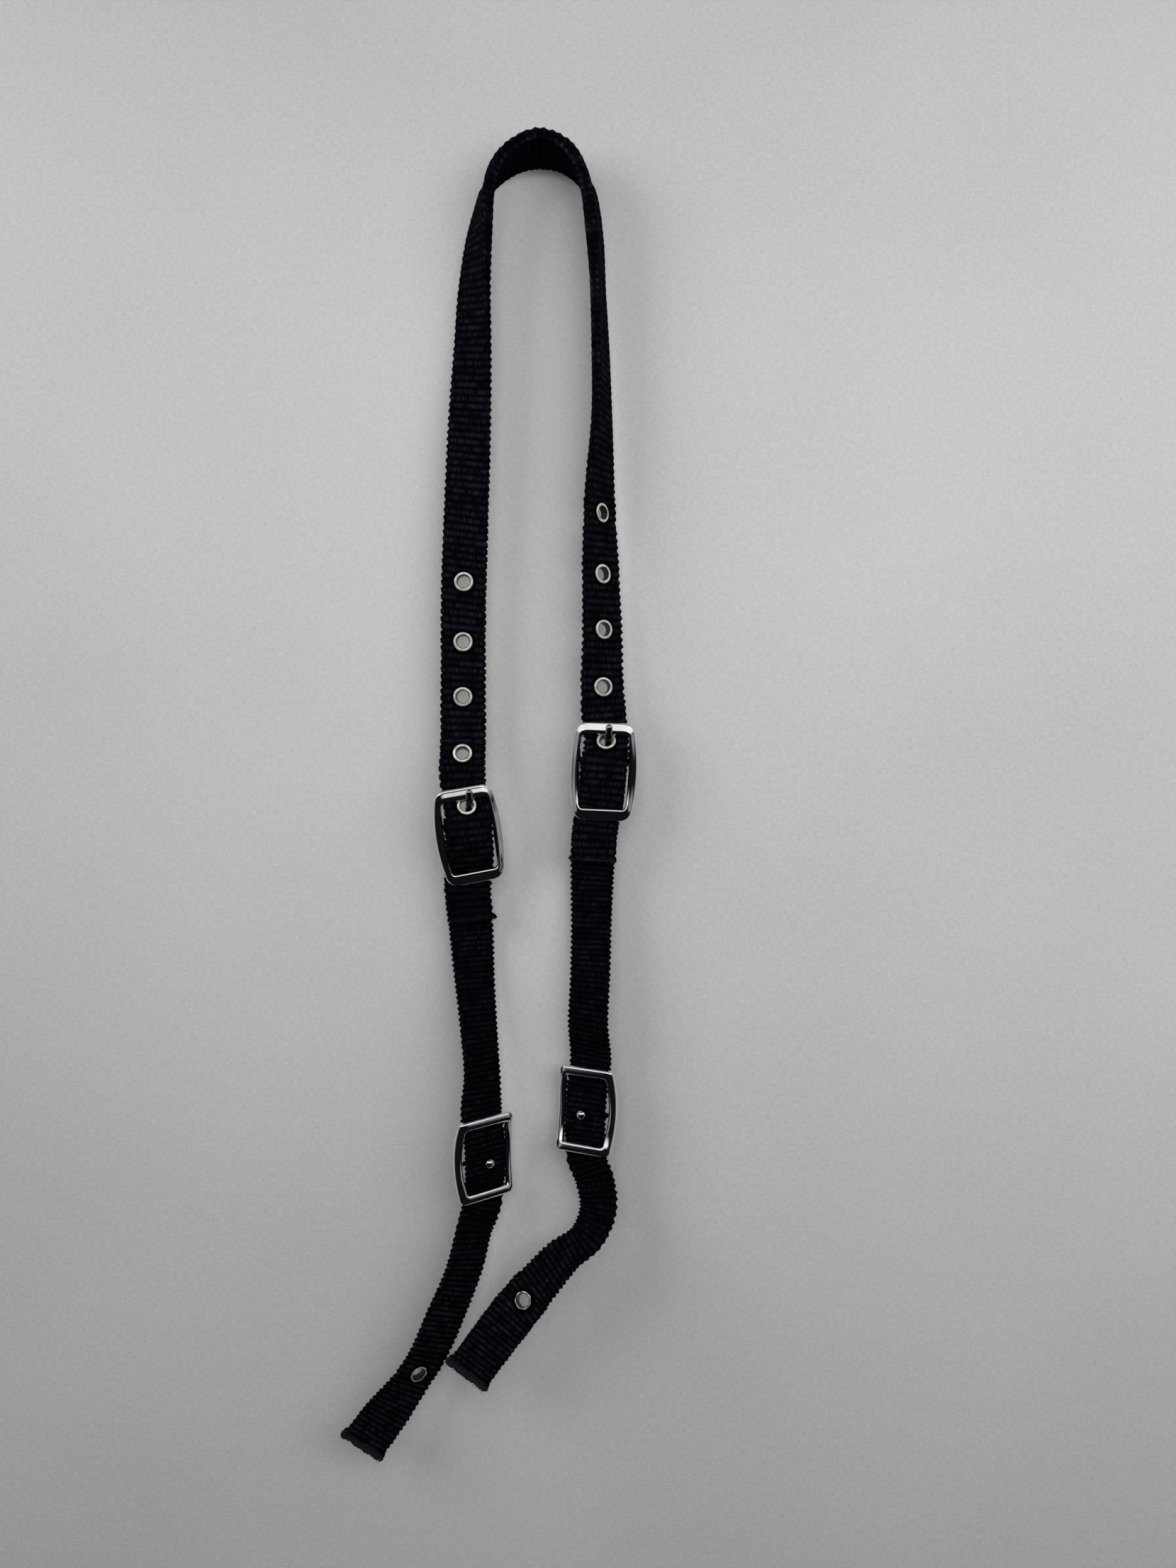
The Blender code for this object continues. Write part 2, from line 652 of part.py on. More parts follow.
def add_stud_buckle(side, material):
    pose = buckle_pose(STUD_BUCKLES[side])
    inner_width = opening_half_width(STUD_SIDE_CLEARANCE)
    inner_height = STUD_BUCKLE_HEIGHT / 2 - STUD_BUCKLE_BAR
    outer_width = inner_width + STUD_BUCKLE_RAIL - STUD_BUCKLE_SWELL
    outer = rounded_outline(outer_width, STUD_BUCKLE_HEIGHT / 2, STUD_BUCKLE_SWELL * 2, STUD_BUCKLE_CORNER)
    inner = rounded_outline(inner_width, inner_height, STUD_BUCKLE_SWELL, STUD_BUCKLE_CORNER / 2)
    frame = add_frame("stud_buckle_" + side, pose, outer, inner, STUD_BUCKLE_DEPTH / 2,
                      STUD_BUCKLE_RAIL_DIP, inner_height, material)
    bar = bmesh.new()
    setback = STUD_BUCKLE_RAIL_DIP + STUD_LIFT
    reach = inner_width + STUD_BUCKLE_SWELL + STUD_BUCKLE_RAIL * 0.5
    clear = WEBBING_WIDTH / 2 + STUD_SIDE_CLEARANCE * 0.3
    add_cross_bar(bar, pose, reach, clear, -STUD_BAR_DROP, setback, STUD_BAR_DIAMETER, STUD_BUCKLE_BAR)
    combine(frame, add_object("stud_bar_" + side, bar, cutter=True), "UNION")
    stud = bmesh.new()
    add_stud(stud, pose @ Matrix.Translation((0.0, -STUD_BAR_DROP, -setback)))
    combine(frame, add_object("stud_" + side, stud, cutter=True), "UNION")
    return frame


def stud_profile():
    """Radius and height of the neck and ball, from the bar's middle."""
    neck = STUD_NECK_DIAMETER / 2
    ball = STUD_BALL_DIAMETER / 2
    face = STUD_BAR_DIAMETER / 2 + CONTACT_GAP + WEBBING_THICKNESS
    drop = math.sqrt(ball ** 2 - neck ** 2)
    centre = face + CONTACT_GAP + drop
    start = math.acos(-drop / ball)
    turns = 6
    points = [(neck, 0.0)]
    for i in range(turns):
        angle = start * (1 - i / turns)
        points.append((ball * math.sin(angle), centre + ball * math.cos(angle)))
    return points, centre + ball


def add_stud(solid, place):
    points, top = stud_profile()
    segments = 14
    rings = []
    for radius, height in points:
        ring = []
        for k in range(segments):
            angle = math.tau * k / segments
            ring.append(place @ Vector((radius * math.cos(angle), radius * math.sin(angle), height)))
        rings.append(ring)
    skins = [[solid.verts.new(point) for point in ring] for ring in rings]
    crown = solid.verts.new(place @ Vector((0.0, 0.0, top)))
    for near, far in zip(skins, skins[1:]):
        for k in range(segments):
            j = (k + 1) % segments
            solid.faces.new((near[k], near[j], far[j], far[k]))
    for k in range(segments):
        solid.faces.new((skins[-1][k], skins[-1][(k + 1) % segments], crown))
    solid.faces.new(skins[0][::-1])


# Tongue

def tongue_path():
    """Side view, from the open end of the eye round the bar and up to the tip on the top bar."""
    half = TONGUE_THICKNESS / 2
    eye = [
        round_bar(CENTRE_BAR_DIAMETER / 2 + TONGUE_BAR_CLEARANCE + half, -220.0 + 17.0 * k)
        for k in range(16)
    ]
    depth = eyelet_depth()
    rest = TONGUE_BUCKLE_DEPTH / 2 + CONTACT_GAP * 0.9 + half
    bar_edge = TOP_BAR_AT - TONGUE_BUCKLE_BAR / 2
    shank = [
        (EYELET_AT - 0.0050, depth - 0.0013),
        (EYELET_AT - 0.0031, depth - 0.0019),
        (EYELET_AT - 0.0012, depth - 0.0014),
        (EYELET_AT + 0.0002, depth + 0.0001),
        (EYELET_AT + 0.0012, depth + 0.0018),
        (bar_edge - 0.0007, rest - 0.0010),
        (bar_edge + 0.0009, rest),
        (TOP_BAR_AT + 0.0003, rest + 0.00005),
        (TOP_BAR_AT + TONGUE_OVERHANG, rest - 0.0001),
    ]
    return eye + shank


def add_tongue(side, material):
    """Sweeps an oval along the tongue's path; the far end is rounded off."""
    pose = buckle_pose(TONGUE_BUCKLES[side])
    hinge = bpy.data.objects.new("tongue_hinge_" + side, None)
    bpy.context.scene.collection.objects.link(hinge)
    hinge.location = pose @ Vector((0.0, CENTRE_BAR_HEIGHT, -CENTRE_BAR_SETBACK))
    root, tip = TONGUE_SHIFT[side]
    length = TOP_BAR_AT + TONGUE_OVERHANG - CENTRE_BAR_HEIGHT
    knots = []
    for height, depth in tongue_path():
        shift = root + (tip - root) * max(height - CENTRE_BAR_HEIGHT, 0.0) / length
        knots.append((Vector((shift, height, depth)), Vector((1.0, 0.0, 0.0))))
    route = Route(knots)
    rings = []
    for i in route.stations(TONGUE_TURN_PER_STEP):
        left = (route.length - route.lengths[i]) / (TONGUE_WIDTH * 0.5)
        swell = math.sqrt(max(1 - (1 - min(left, 1.0)) ** 2, 0.04))
        place = pose @ route.place(i)
        ring = []
        for k in range(8):
            angle = math.tau * (k + 0.5) / 8
            x = TONGUE_WIDTH / 2 * math.cos(angle) * swell
            z = TONGUE_THICKNESS / 2 * math.sin(angle) * swell
            ring.append(place @ Vector((x, 0.0, z)) - hinge.location)
        rings.append(ring)
    solid = bmesh.new()
    add_rings(solid, rings)
    tongue = add_object("tongue_" + side, solid, material)
    tongue.parent = hinge
    return tongue


# Assembly

def build_crown(webbing, nickel):
    route = crown_route()
    holes = bmesh.new()
    flats = []
    for side, sign in zip(SIDES, (-1, 1)):
        pose = buckle_pose(TONGUE_BUCKLES[side])
        tongue_eyelet = pose @ Vector((drift_at(side, EYELET_AT), EYELET_AT, eyelet_depth()))
        distances = [route.distance_at_height(height, sign) for height in CROWN_EYELET_HEIGHTS[side]]
        distances.append(route.distance_near(tongue_eyelet))
        for k, distance in enumerate(distances):
            place = route.place_at(distance)
            punch_eyelet_hole(holes, place)
            add_eyelet("eyelet_{}_{}".format(side, k + 1), place, nickel)
            flats.append((distance, EYELET_REACH))
    add_strap("crown_strap", route, flats, webbing, holes)


def build_cheek(side, webbing, nickel):
    route = cheek_route(side)
    holes = bmesh.new()
    half_slot = TONGUE_SLOT_WIDTH / 2
    back = -CENTRE_BAR_SETBACK - OVER_RADIUS
    low = (-half_slot, CENTRE_BAR_HEIGHT - TONGUE_SLOT_BELOW_BAR, back)
    high = (half_slot, CENTRE_BAR_HEIGHT + OVER_RADIUS, OVER_RADIUS - CENTRE_BAR_SETBACK)
    add_box(holes, buckle_pose(TONGUE_BUCKLES[side]), low, high)
    stud_pose = buckle_pose(STUD_BUCKLES[side]) @ Matrix.Translation((0.0, -STUD_BAR_DROP, 0.0))
    add_cylinder(holes, stud_pose, STUD_NECK_DIAMETER / 2 + STUD_HOLE_CLEARANCE, STUD_BUCKLE_RAIL_DIP * 2, 12)
    eyelet_at = route.length - TAB_EYELET_FROM_END
    place = route.place_at(eyelet_at) @ Matrix.Rotation(math.pi, 4, "Y")
    punch_eyelet_hole(holes, place)
    add_eyelet("tab_eyelet_" + side, place, nickel)
    flats = [(eyelet_at, EYELET_REACH), (route.length - TAB_END_FLAT / 2, TAB_END_FLAT / 2)]
    add_strap("cheek_strap_" + side, route, flats, webbing, holes)


def main():
    clear_scene()
    webbing = finish("black_webbing", (0.010, 0.011, 0.016), 0.82, 0.0)
    chrome = finish("bright_chrome", (0.62, 0.62, 0.63), 0.10, 1.0)
    nickel = finish("nickel_plate", (0.66, 0.65, 0.61), 0.25, 1.0)
    build_crown(webbing, nickel)
    for side in SIDES:
        add_tongue_buckle(side, chrome)
        add_tongue(side, chrome)
        build_cheek(side, webbing, nickel)
        add_stud_buckle(side, chrome)


main()
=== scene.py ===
"""Looks of a webbing headstall: ribbed straps, plated buckles, tongues, studs and eyelets.

Metres, +Z up, +X to the viewer's right, +Y away from the viewer. The origin is the point where
the crown strap rests. Every piece is a finer copy of a solid of the frame and stands in its place.
"""
import math

import bmesh
import bpy
import numpy as np
from bpy.props import FloatProperty, FloatVectorProperty, IntProperty, PointerProperty
from mathutils import Matrix, Vector


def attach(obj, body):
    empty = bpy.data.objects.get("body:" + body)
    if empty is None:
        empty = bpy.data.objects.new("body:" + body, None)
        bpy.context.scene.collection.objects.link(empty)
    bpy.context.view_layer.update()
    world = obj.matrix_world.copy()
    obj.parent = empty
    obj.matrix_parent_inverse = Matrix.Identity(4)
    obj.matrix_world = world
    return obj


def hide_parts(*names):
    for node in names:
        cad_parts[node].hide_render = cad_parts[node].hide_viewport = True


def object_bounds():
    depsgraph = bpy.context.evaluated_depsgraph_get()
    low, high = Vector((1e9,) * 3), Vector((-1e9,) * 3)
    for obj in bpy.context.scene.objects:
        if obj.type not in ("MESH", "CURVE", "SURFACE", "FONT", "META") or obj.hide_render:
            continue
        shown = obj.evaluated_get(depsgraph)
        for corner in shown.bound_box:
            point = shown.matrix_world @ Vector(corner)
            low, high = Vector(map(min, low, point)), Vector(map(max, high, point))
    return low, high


bl_info = {
    "name": "Headstall",
    "version": (1, 0, 0),
    "blender": (4, 5, 0),
    "location": "3D View > Sidebar > Headstall",
    "description": "Dresses the packed headstall in webbing, chrome and nickel",
    "category": "Object",
}

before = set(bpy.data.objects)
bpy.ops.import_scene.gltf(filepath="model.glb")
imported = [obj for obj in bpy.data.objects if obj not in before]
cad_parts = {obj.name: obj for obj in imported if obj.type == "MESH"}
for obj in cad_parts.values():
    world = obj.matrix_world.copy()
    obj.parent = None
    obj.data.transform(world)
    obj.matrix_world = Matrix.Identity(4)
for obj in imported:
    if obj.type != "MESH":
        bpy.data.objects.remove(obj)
SOLID_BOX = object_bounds()

SIDES = ("left", "right")
CONTACT_GAP = 0.0003

# Webbing
WEBBING_WIDTH = 0.0195
WEBBING_THICKNESS = 0.0026
HALF_WEBBING = WEBBING_THICKNESS / 2
LAYER = WEBBING_THICKNESS + CONTACT_GAP

# Eyelets
EYELET_BORE = 0.0056
EYELET_WALL = 0.00035
EYELET_FRONT_FLANGE = 0.0084
EYELET_BACK_FLANGE = 0.0077
EYELET_FLANGE_THICKNESS = 0.00035
EYELET_SEAT_GAP = 0.00015
EYELET_REACH = EYELET_FRONT_FLANGE / 2 + 0.0005
TAB_EYELET_FROM_END = 0.0419
TAB_END_FLAT = 0.014

# Tongue buckles
SIDE_CLEARANCE = 0.0010
TONGUE_BUCKLE_HEIGHT = 0.0432
TONGUE_BUCKLE_BAR = 0.0056
TONGUE_BUCKLE_DEPTH = 0.0026
TONGUE_BUCKLE_RAIL = 0.0033
TONGUE_BUCKLE_END_RAIL = 0.0013
TONGUE_BUCKLE_SWELL = 0.0006
TONGUE_BUCKLE_RAIL_DIP = 0.0020
TONGUE_BUCKLE_CORNER = 0.0050
CENTRE_BAR_DIAMETER = 0.0032
CENTRE_BAR_BELOW_TOP = 0.0142
CENTRE_BAR_SETBACK = 0.0036
CENTRE_BAR_LUG = 0.0052

# Tongues
TONGUE_WIDTH = 0.0031
TONGUE_THICKNESS = 0.0021
TONGUE_BAR_CLEARANCE = 0.0002
TONGUE_OVERHANG = 0.0018
TONGUE_SLOT_WIDTH = 0.0062
TONGUE_SLOT_BELOW_BAR = 0.0052

# Stud buckles
STUD_BUCKLE_HEIGHT = 0.0376
STUD_BUCKLE_BAR = 0.0042
STUD_BUCKLE_DEPTH = 0.0034
STUD_BUCKLE_RAIL = 0.0036
STUD_BUCKLE_SWELL = 0.0005
STUD_BUCKLE_RAIL_DIP = 0.0036
STUD_BUCKLE_CORNER = 0.0030
STUD_SIDE_CLEARANCE = 0.00045
STUD_BAR_DIAMETER = 0.0029
STUD_BAR_DROP = 0.0015
STUD_BALL_DIAMETER = 0.0043
STUD_NECK_DIAMETER = 0.0022
STUD_HOLE_CLEARANCE = 0.0004
STUD_LIFT = 0.0004

# How each buckle hangs: centre, then roll, pitch and yaw in degrees
TONGUE_BUCKLES = {
    "left": ((-0.0301, -0.0049, -0.3037), 10.0, 9.0, 14.0),
    "right": ((0.0285, -0.0049, -0.2757), -2.4, 0.0, -3.0),
}
STUD_BUCKLES = {
    "left": ((-0.0228, -0.0037, -0.4450), 4.5, 6.0, 34.0),
    "right": ((0.0200, -0.0009, -0.4249), -1.0, -4.0, -27.0),
}

# How far to the right each tongue lies at its eye and at its tip
TONGUE_SHIFT = {"left": (0.0009, 0.0026), "right": (0.0009, 0.0018)}

# The straps wander across each tongue buckle: (height above its middle, shift to the right)
STRAP_DRIFT = {
    "left": [
        (0.0245, 0.0014), (0.0130, 0.0007), (0.0080, 0.0006), (0.0046, 0.0003), (-0.0105, -0.0007),
        (-0.0160, -0.0015), (-0.0216, -0.0032), (-0.0280, -0.0041), (-0.0400, -0.0052),
    ],
    "right": [
        (0.0245, -0.0011), (0.0175, -0.0002), (0.0130, 0.0006), (0.0080, 0.0005), (0.0046, 0.0002),
        (-0.0105, -0.0007), (-0.0160, -0.0014), (-0.0216, -0.0025), (-0.0280, -0.0031), (-0.0400, -0.0031),
    ],
}

# Crown strap: each knot is a point and the heading of the strap's width, in degrees from +X
CROWN_TOP = [((0.0, 0.0, 0.0013), 90.0)]
CROWN_LEFT = [
    ((-0.0109, 0.0, -0.0038), 90.0),
    ((-0.0220, 0.0, -0.0160), 104.0),
    ((-0.0242, 0.0, -0.0240), 107.0),
    ((-0.0258, 0.0, -0.0338), 114.0),
    ((-0.0284, 0.0003, -0.0580), 130.0),
    ((-0.0295, 0.0003, -0.0901), 144.0),
    ((-0.0305, 0.0003, -0.1152), 157.0),
    ((-0.0317, 0.0003, -0.1500), 172.0),
    ((-0.0331, 0.0003, -0.1903), 180.0),
    ((-0.0335, 0.0004, -0.2300), 181.0),
    ((-0.0335, 0.0005, -0.2600), 180.0),
]
CROWN_RIGHT = [
    ((0.0113, 0.0, -0.0033), 90.0),
    ((0.0204, 0.0, -0.0148), 79.0),
    ((0.0228, 0.0, -0.0235), 80.0),
    ((0.0241, 0.0, -0.0338), 80.0),
    ((0.0260, 0.0003, -0.0600), 80.0),
    ((0.0273, 0.0003, -0.0901), 76.0),
    ((0.0279, 0.0003, -0.1200), 71.0),
    ((0.0269, 0.0003, -0.1550), 54.0),
    ((0.0273, 0.0003, -0.1860), 39.0),
    ((0.0280, 0.0004, -0.2154), 30.0),
    ((0.0280, 0.0005, -0.2383), 17.0),
]
# Within this reach below the crest the strap sinks a little and tips its front edge up, in degrees
CREST_REACH = 0.005
CREST_SINK = 0.0021
CREST_TILT = 13.0
CROWN_TAIL_LENGTH = {"left": 0.0169, "right": 0.0183}
CROWN_TAIL_FORWARD = {"left": 0.0026, "right": 0.0}
CROWN_EYELET_HEIGHTS = {
    "left": (-0.1918, -0.2188, -0.2424, -0.2677),
    "right": (-0.1617, -0.1888, -0.2135, -0.2383),
}

# Cheek straps: free run between the buckles, then the bit tab below the stud buckle
FOLD_LENGTH = 0.006
CHEEK_RUN = {
    "left": [
        ((-0.0305, 0.0068, -0.3470), 20.0),
        ((-0.0288, 0.0042, -0.3670), 36.0),
        ((-0.0264, -0.0002, -0.3900), 46.0),
        ((-0.0248, -0.0028, -0.4100), 45.0),
    ],
    "right": [
        ((0.0236, 0.0050, -0.3200), -19.0),
        ((0.0232, 0.0040, -0.3390), -27.0),
        ((0.0226, 0.0012, -0.3650), -32.0),
        ((0.0217, -0.0002, -0.3880), -32.0),
    ],
}
BIT_TAB = {
    "left": [
        ((-0.0286, 0.0000, -0.4780), 42.0),
        ((-0.0326, -0.0010, -0.4940), 40.0),
        ((-0.0402, -0.0022, -0.5128), 34.0),
        ((-0.0500, -0.0036, -0.5340), 33.0),
        ((-0.0576, -0.0042, -0.5450), 27.0),
        ((-0.0680, -0.0044, -0.5585), 8.0),
        ((-0.0781, -0.0044, -0.5721), 4.0),
    ],
    "right": [
        ((0.0246, 0.0004, -0.4560), -31.0),
        ((0.0260, -0.0026, -0.4680), -41.0),
        ((0.0213, -0.0066, -0.4780), -47.0),
        ((0.0108, -0.0094, -0.4858), -41.0),
        ((-0.0002, -0.0108, -0.4974), -32.0),
        ((-0.0093, -0.0113, -0.5080), -10.0),
        ((-0.0316, -0.0114, -0.5374), 0.0),
    ],
}

# The photograph's camera
IMAGE_WIDTH = 1659
IMAGE_HEIGHT = 2212
FOCAL_PIXELS = 1662
SENSOR = 36.0
CAMERA_PLACE = (0.02165, -0.520, -0.2811)


# Sizes and colours that a user would change

class HeadstallWebbing(bpy.types.PropertyGroup):
    rib_pitch: FloatProperty(
        name="Rib pitch", description="Distance from one cross rib to the next",
        default=0.00315, min=0.001, unit="LENGTH")
    cheek_rib_pitch: FloatProperty(
        name="Cheek rib pitch", description="The same distance in the closer weave of the cheek straps",
        default=0.00237, min=0.001, unit="LENGTH")
    yarns_across: IntProperty(
        name="Yarns across", description="Yarn floats side by side in one rib", default=20, min=6, max=24)
    groove_depth: FloatProperty(
        name="Groove depth", description="How far the groove between two ribs sinks in",
        default=0.00042, min=0.0, unit="LENGTH")
    yarn_relief: FloatProperty(
        name="Yarn relief", description="How far the gap between two yarns sinks in",
        default=0.00024, min=0.0, unit="LENGTH")
    scallop: FloatProperty(
        name="Scallop", description="How far the weft turns bulge out of the selvedge",
        default=0.00038, min=0.0, unit="LENGTH")
    yarn_colour: FloatVectorProperty(
        name="Yarn colour", description="Crests of the yarns", subtype="COLOR",
        default=(0.0150, 0.0172, 0.0235))
    # Painted shade: the colour the gaps and grooves between the yarns are painted
    groove_painted_shade: FloatVectorProperty(
        name="Groove colour", description="Shade between the yarns", subtype="COLOR",
        default=(0.0005, 0.0008, 0.0016))
    sealed_colour: FloatVectorProperty(
        name="Sealed colour", description="Melted ends", subtype="COLOR", default=(0.024, 0.028, 0.033))
    seed: IntProperty(name="Seed", description="Picks the unevenness of the weave", default=7, min=0)


class HeadstallPlating(bpy.types.PropertyGroup):
    chrome_colour: FloatVectorProperty(
        name="Chrome colour", description="Plating of the buckles", subtype="COLOR",
        default=(0.88, 0.88, 0.88))
    chrome_roughness: FloatProperty(
        name="Chrome roughness", description="Dullness of the cleanest plating", default=0.05,
        min=0.0, max=1.0)
    tongue_colour: FloatVectorProperty(
        name="Tongue colour", description="Duller plating of the tongues", subtype="COLOR",
        default=(0.34, 0.34, 0.35))
    nickel_colour: FloatVectorProperty(
        name="Nickel colour", description="Plating of the eyelets", subtype="COLOR",
        default=(0.80, 0.79, 0.74))
    nickel_roughness: FloatProperty(
        name="Nickel roughness", description="Dullness of the cleanest eyelet", default=0.28,
        min=0.0, max=1.0)


class HeadstallStage(bpy.types.PropertyGroup):
    backdrop_colour: FloatVectorProperty(
        name="Backdrop colour", description="Cloth behind the strap", subtype="COLOR",
        default=(0.575, 0.580, 0.577))
    wall_gap: FloatProperty(
        name="Wall gap", description="From the strap's furthest point to the cloth", default=0.0012,
        min=0.001, unit="LENGTH")
    window_power: FloatProperty(
        name="Window", description="Power of the wide window", default=5.5, min=0.0)
    left_power: FloatProperty(
        name="Left lamp", description="Power of the lamp on the left", default=3.9, min=0.0)
    ambient: FloatProperty(
        name="Ambient", description="Strength of the room's light", default=0.08, min=0.0)


# Shader maths

class Wire:
    """One output socket that can stand in a sum or a product."""

    def __init__(self, board, socket):
        self.board = board
        self.socket = socket

    def maths(self, operation, left, right):
        return self.board.add("ShaderNodeMath", {"operation": operation}, {0: left, 1: right})

    def __add__(self, other):
        return self.maths("ADD", self, other)

    def __radd__(self, other):
        return self.maths("ADD", other, self)

    def __sub__(self, other):
        return self.maths("SUBTRACT", self, other)

    def __mul__(self, other):
        return self.maths("MULTIPLY", self, other)

    def __rmul__(self, other):
        return self.maths("MULTIPLY", other, self)

    def __pow__(self, other):
        return self.maths("POWER", self, other)


class Board:
    """A material's node tree, with its Principled shader and one way to add any other node."""

    def __init__(self, name):
        self.material = bpy.data.materials.new(name)
        self.material.use_nodes = True
        self.tree = self.material.node_tree
        self.shader = self.tree.nodes["Principled BSDF"]
        self.surface = self.tree.nodes["Material Output"].inputs["Surface"]

    def add(self, kind, settings=None, sockets=None, output=0):
        node = self.tree.nodes.new(kind)
        for key, value in (settings or {}).items():
            setattr(node, key, value)
        for key, value in (sockets or {}).items():
            self.join(value, node.inputs[key])
        return Wire(self, node.outputs[output])

    def join(self, value, socket):
        if isinstance(value, Wire):
            self.tree.links.new(value.socket, socket)
        else:
            socket.default_value = value

    def set(self, **sockets):
        """Sets the Principled shader's sockets, named with underscores for spaces."""
        for key, value in sockets.items():
            self.join(value, self.shader.inputs[key.replace("_", " ")])

    def number(self, name):
        """A number stored on the mesh's points."""
        return self.add("ShaderNodeAttribute", {"attribute_name": name}, output=2)

    def place(self, name):
        """A vector stored on the mesh's points."""
        return self.add("ShaderNodeAttribute", {"attribute_name": name}, output=1)

    def stretch(self, vector, factors):
        return self.add("ShaderNodeVectorMath", {"operation": "MULTIPLY"}, {0: vector, 1: factors})

    def noise(self, vector, scale, detail=2.0, roughness=0.5):
        sockets = {"Vector": vector, "Scale": scale, "Detail": detail, "Roughness": roughness}
        return self.add("ShaderNodeTexNoise", None, sockets)

    def ramp(self, value, low, high):
        """Goes from 0 at low to 1 at high."""
        sockets = {"Value": value, "From Min": low, "From Max": high}
        return self.add("ShaderNodeMapRange", None, sockets)

    def mix(self, factor, first, second):
        sockets = {0: factor, 6: opaque(first), 7: opaque(second)}
        return self.add("ShaderNodeMix", {"data_type": "RGBA"}, sockets, output=2)

    def bump(self, height, strength, distance):
        sockets = {"Height": height, "Strength": strength, "Distance": distance}
        return self.add("ShaderNodeBump", None, sockets)


def opaque(colour):
    return colour if isinstance(colour, Wire) else (*colour, 1.0)


def webbing_material():
    """Dull black yarn: crests painted lighter, gaps and grooves painted dark as shade, all dimmed by a
    painted shade by height; sealed ends are greyer.
    """
    look = bpy.context.scene.headstall_webbing
    board = Board("black_webbing")
    lift = board.number("yarn")
    tint_and_shade = board.number("tint_and_shade")
    sealed = board.number("sealed")
    place = board.place("strap")
    fibres = board.noise(board.stretch(place, (9000.0, 1300.0, 900.0)), 1.0, 2.0)
    patches = board.noise(place, 160.0, 3.0)
    # Painted shade: the lower a point stands, the nearer its colour falls to the painted groove shade, and
    # the painted shade by height dims the crests too
    crest = lift ** 3.0 * tint_and_shade * (0.45 + 1.1 * fibres) * (0.35 + 1.3 * board.ramp(patches, 0.36, 0.64))
    yarn = board.mix(crest, look.groove_painted_shade, look.yarn_colour)
    lumps = board.noise(place, 1500.0, 3.0)
    # The sealed mark arrives already dimmed by the painted shade by height
    melt = sealed * board.ramp(lumps, 0.32, 0.68)
    board.set(
        Base_Color=board.mix(melt, yarn, look.sealed_colour),
        Roughness=0.80 + 0.12 * fibres - 0.38 * melt,
        Normal=board.bump(fibres + lumps * sealed, 0.5, 0.00012),
        Specular_IOR_Level=0.02,
    )
    return board.material


def polished_material(name, colour):
    """Bright plating with fine pits, faint scratches and handling marks."""
    look = bpy.context.scene.headstall_plating
    board = Board(name)
    place = board.add("ShaderNodeTexCoord", output=3)
    smudges = board.ramp(board.noise(place, 130.0, 4.0, 0.6), 0.42, 0.75)
    pits = board.noise(place, 2600.0, 2.0)
    scratches = board.noise(board.stretch(place, (2400.0, 2400.0, 160.0)), 1.0, 3.0)
    board.set(
        Base_Color=board.mix(smudges * 0.5, colour, tuple(channel * 0.63 for channel in colour)),
        Metallic=1.0,
        Roughness=look.chrome_roughness + 0.07 * smudges + 0.03 * pits,
        Normal=board.bump(pits + scratches * 0.5, 0.10, 0.00005),
    )
    return board.material


def chrome_material():
    return polished_material("bright_chrome", bpy.context.scene.headstall_plating.chrome_colour)


def tongue_material():
    return polished_material("tongue_steel", bpy.context.scene.headstall_plating.tongue_colour)


def nickel_material():
    """Warmer, softer plating of the stamped eyelets, tarnished in patches and painted near black inside the
    bore as shade.
    """
    look = bpy.context.scene.headstall_plating
    board = Board("nickel_plate")
    place = board.add("ShaderNodeTexCoord", output=3)
    tarnish = board.ramp(board.noise(place, 420.0, 4.0, 0.6), 0.40, 0.72)
    grain = board.noise(place, 5200.0, 2.0)
    # Painted shade: the inside of the bore is painted near black
    bore = board.number("bore")
    plate = board.mix(tarnish, look.nickel_colour, (0.52, 0.48, 0.40))
    board.set(
        Base_Color=board.mix(bore, plate, (0.02, 0.02, 0.02)),
        Metallic=0.55 + 0.3 * tarnish,
        Roughness=look.nickel_roughness + 0.16 * tarnish + 0.05 * grain,
        Normal=board.bump(grain, 0.18, 0.00005),
    )
    return board.material


def backdrop_material():
    """Off-white cloth; from behind it lets the view through to the strap."""
    look = bpy.context.scene.headstall_stage
    board = Board("backdrop_cloth")
    place = board.add("ShaderNodeTexCoord", output=3)
    mottle = board.noise(place, 5.0, 2.0)
    warp = board.noise(board.stretch(place, (1300.0, 1300.0, 420.0)), 1.0, 1.0)
    weft = board.noise(board.stretch(place, (420.0, 420.0, 1300.0)), 1.0, 1.0)
    weave = (warp + weft) * 0.5
    folds = board.noise(board.stretch(place, (1.0, 1.0, 0.5)), 9.0, 3.0)
    darker = tuple(channel * 0.80 for channel in look.backdrop_colour)
    shade = board.ramp(mottle, 0.30, 0.70) * 0.4 + board.ramp(weave, 0.32, 0.68) * 0.7
    board.set(
        Base_Color=board.mix(shade, darker, look.backdrop_colour),
        Roughness=0.9,
        Specular_IOR_Level=0.1,
        Normal=board.bump(weave + folds * 12.0, 0.6, 0.0003),
    )
    behind = board.add("ShaderNodeNewGeometry", output=6)
    camera = board.add("ShaderNodeLightPath")
    mirrored = board.add("ShaderNodeLightPath", output=3)
    height = board.add("ShaderNodeSeparateXYZ", None, {0: place}, output=2)
    below = board.ramp(height, -0.70, -0.74)
    clear = board.add("ShaderNodeBsdfTransparent")
    cloth = Wire(board, board.shader.outputs[0])
    hidden = board.add("ShaderNodeMath", {"operation": "MAXIMUM"}, {0: behind * camera, 1: mirrored * below})
    board.join(board.add("ShaderNodeMixShader", None, {0: hidden, 1: cloth, 2: clear}), board.surface)
    return board.material


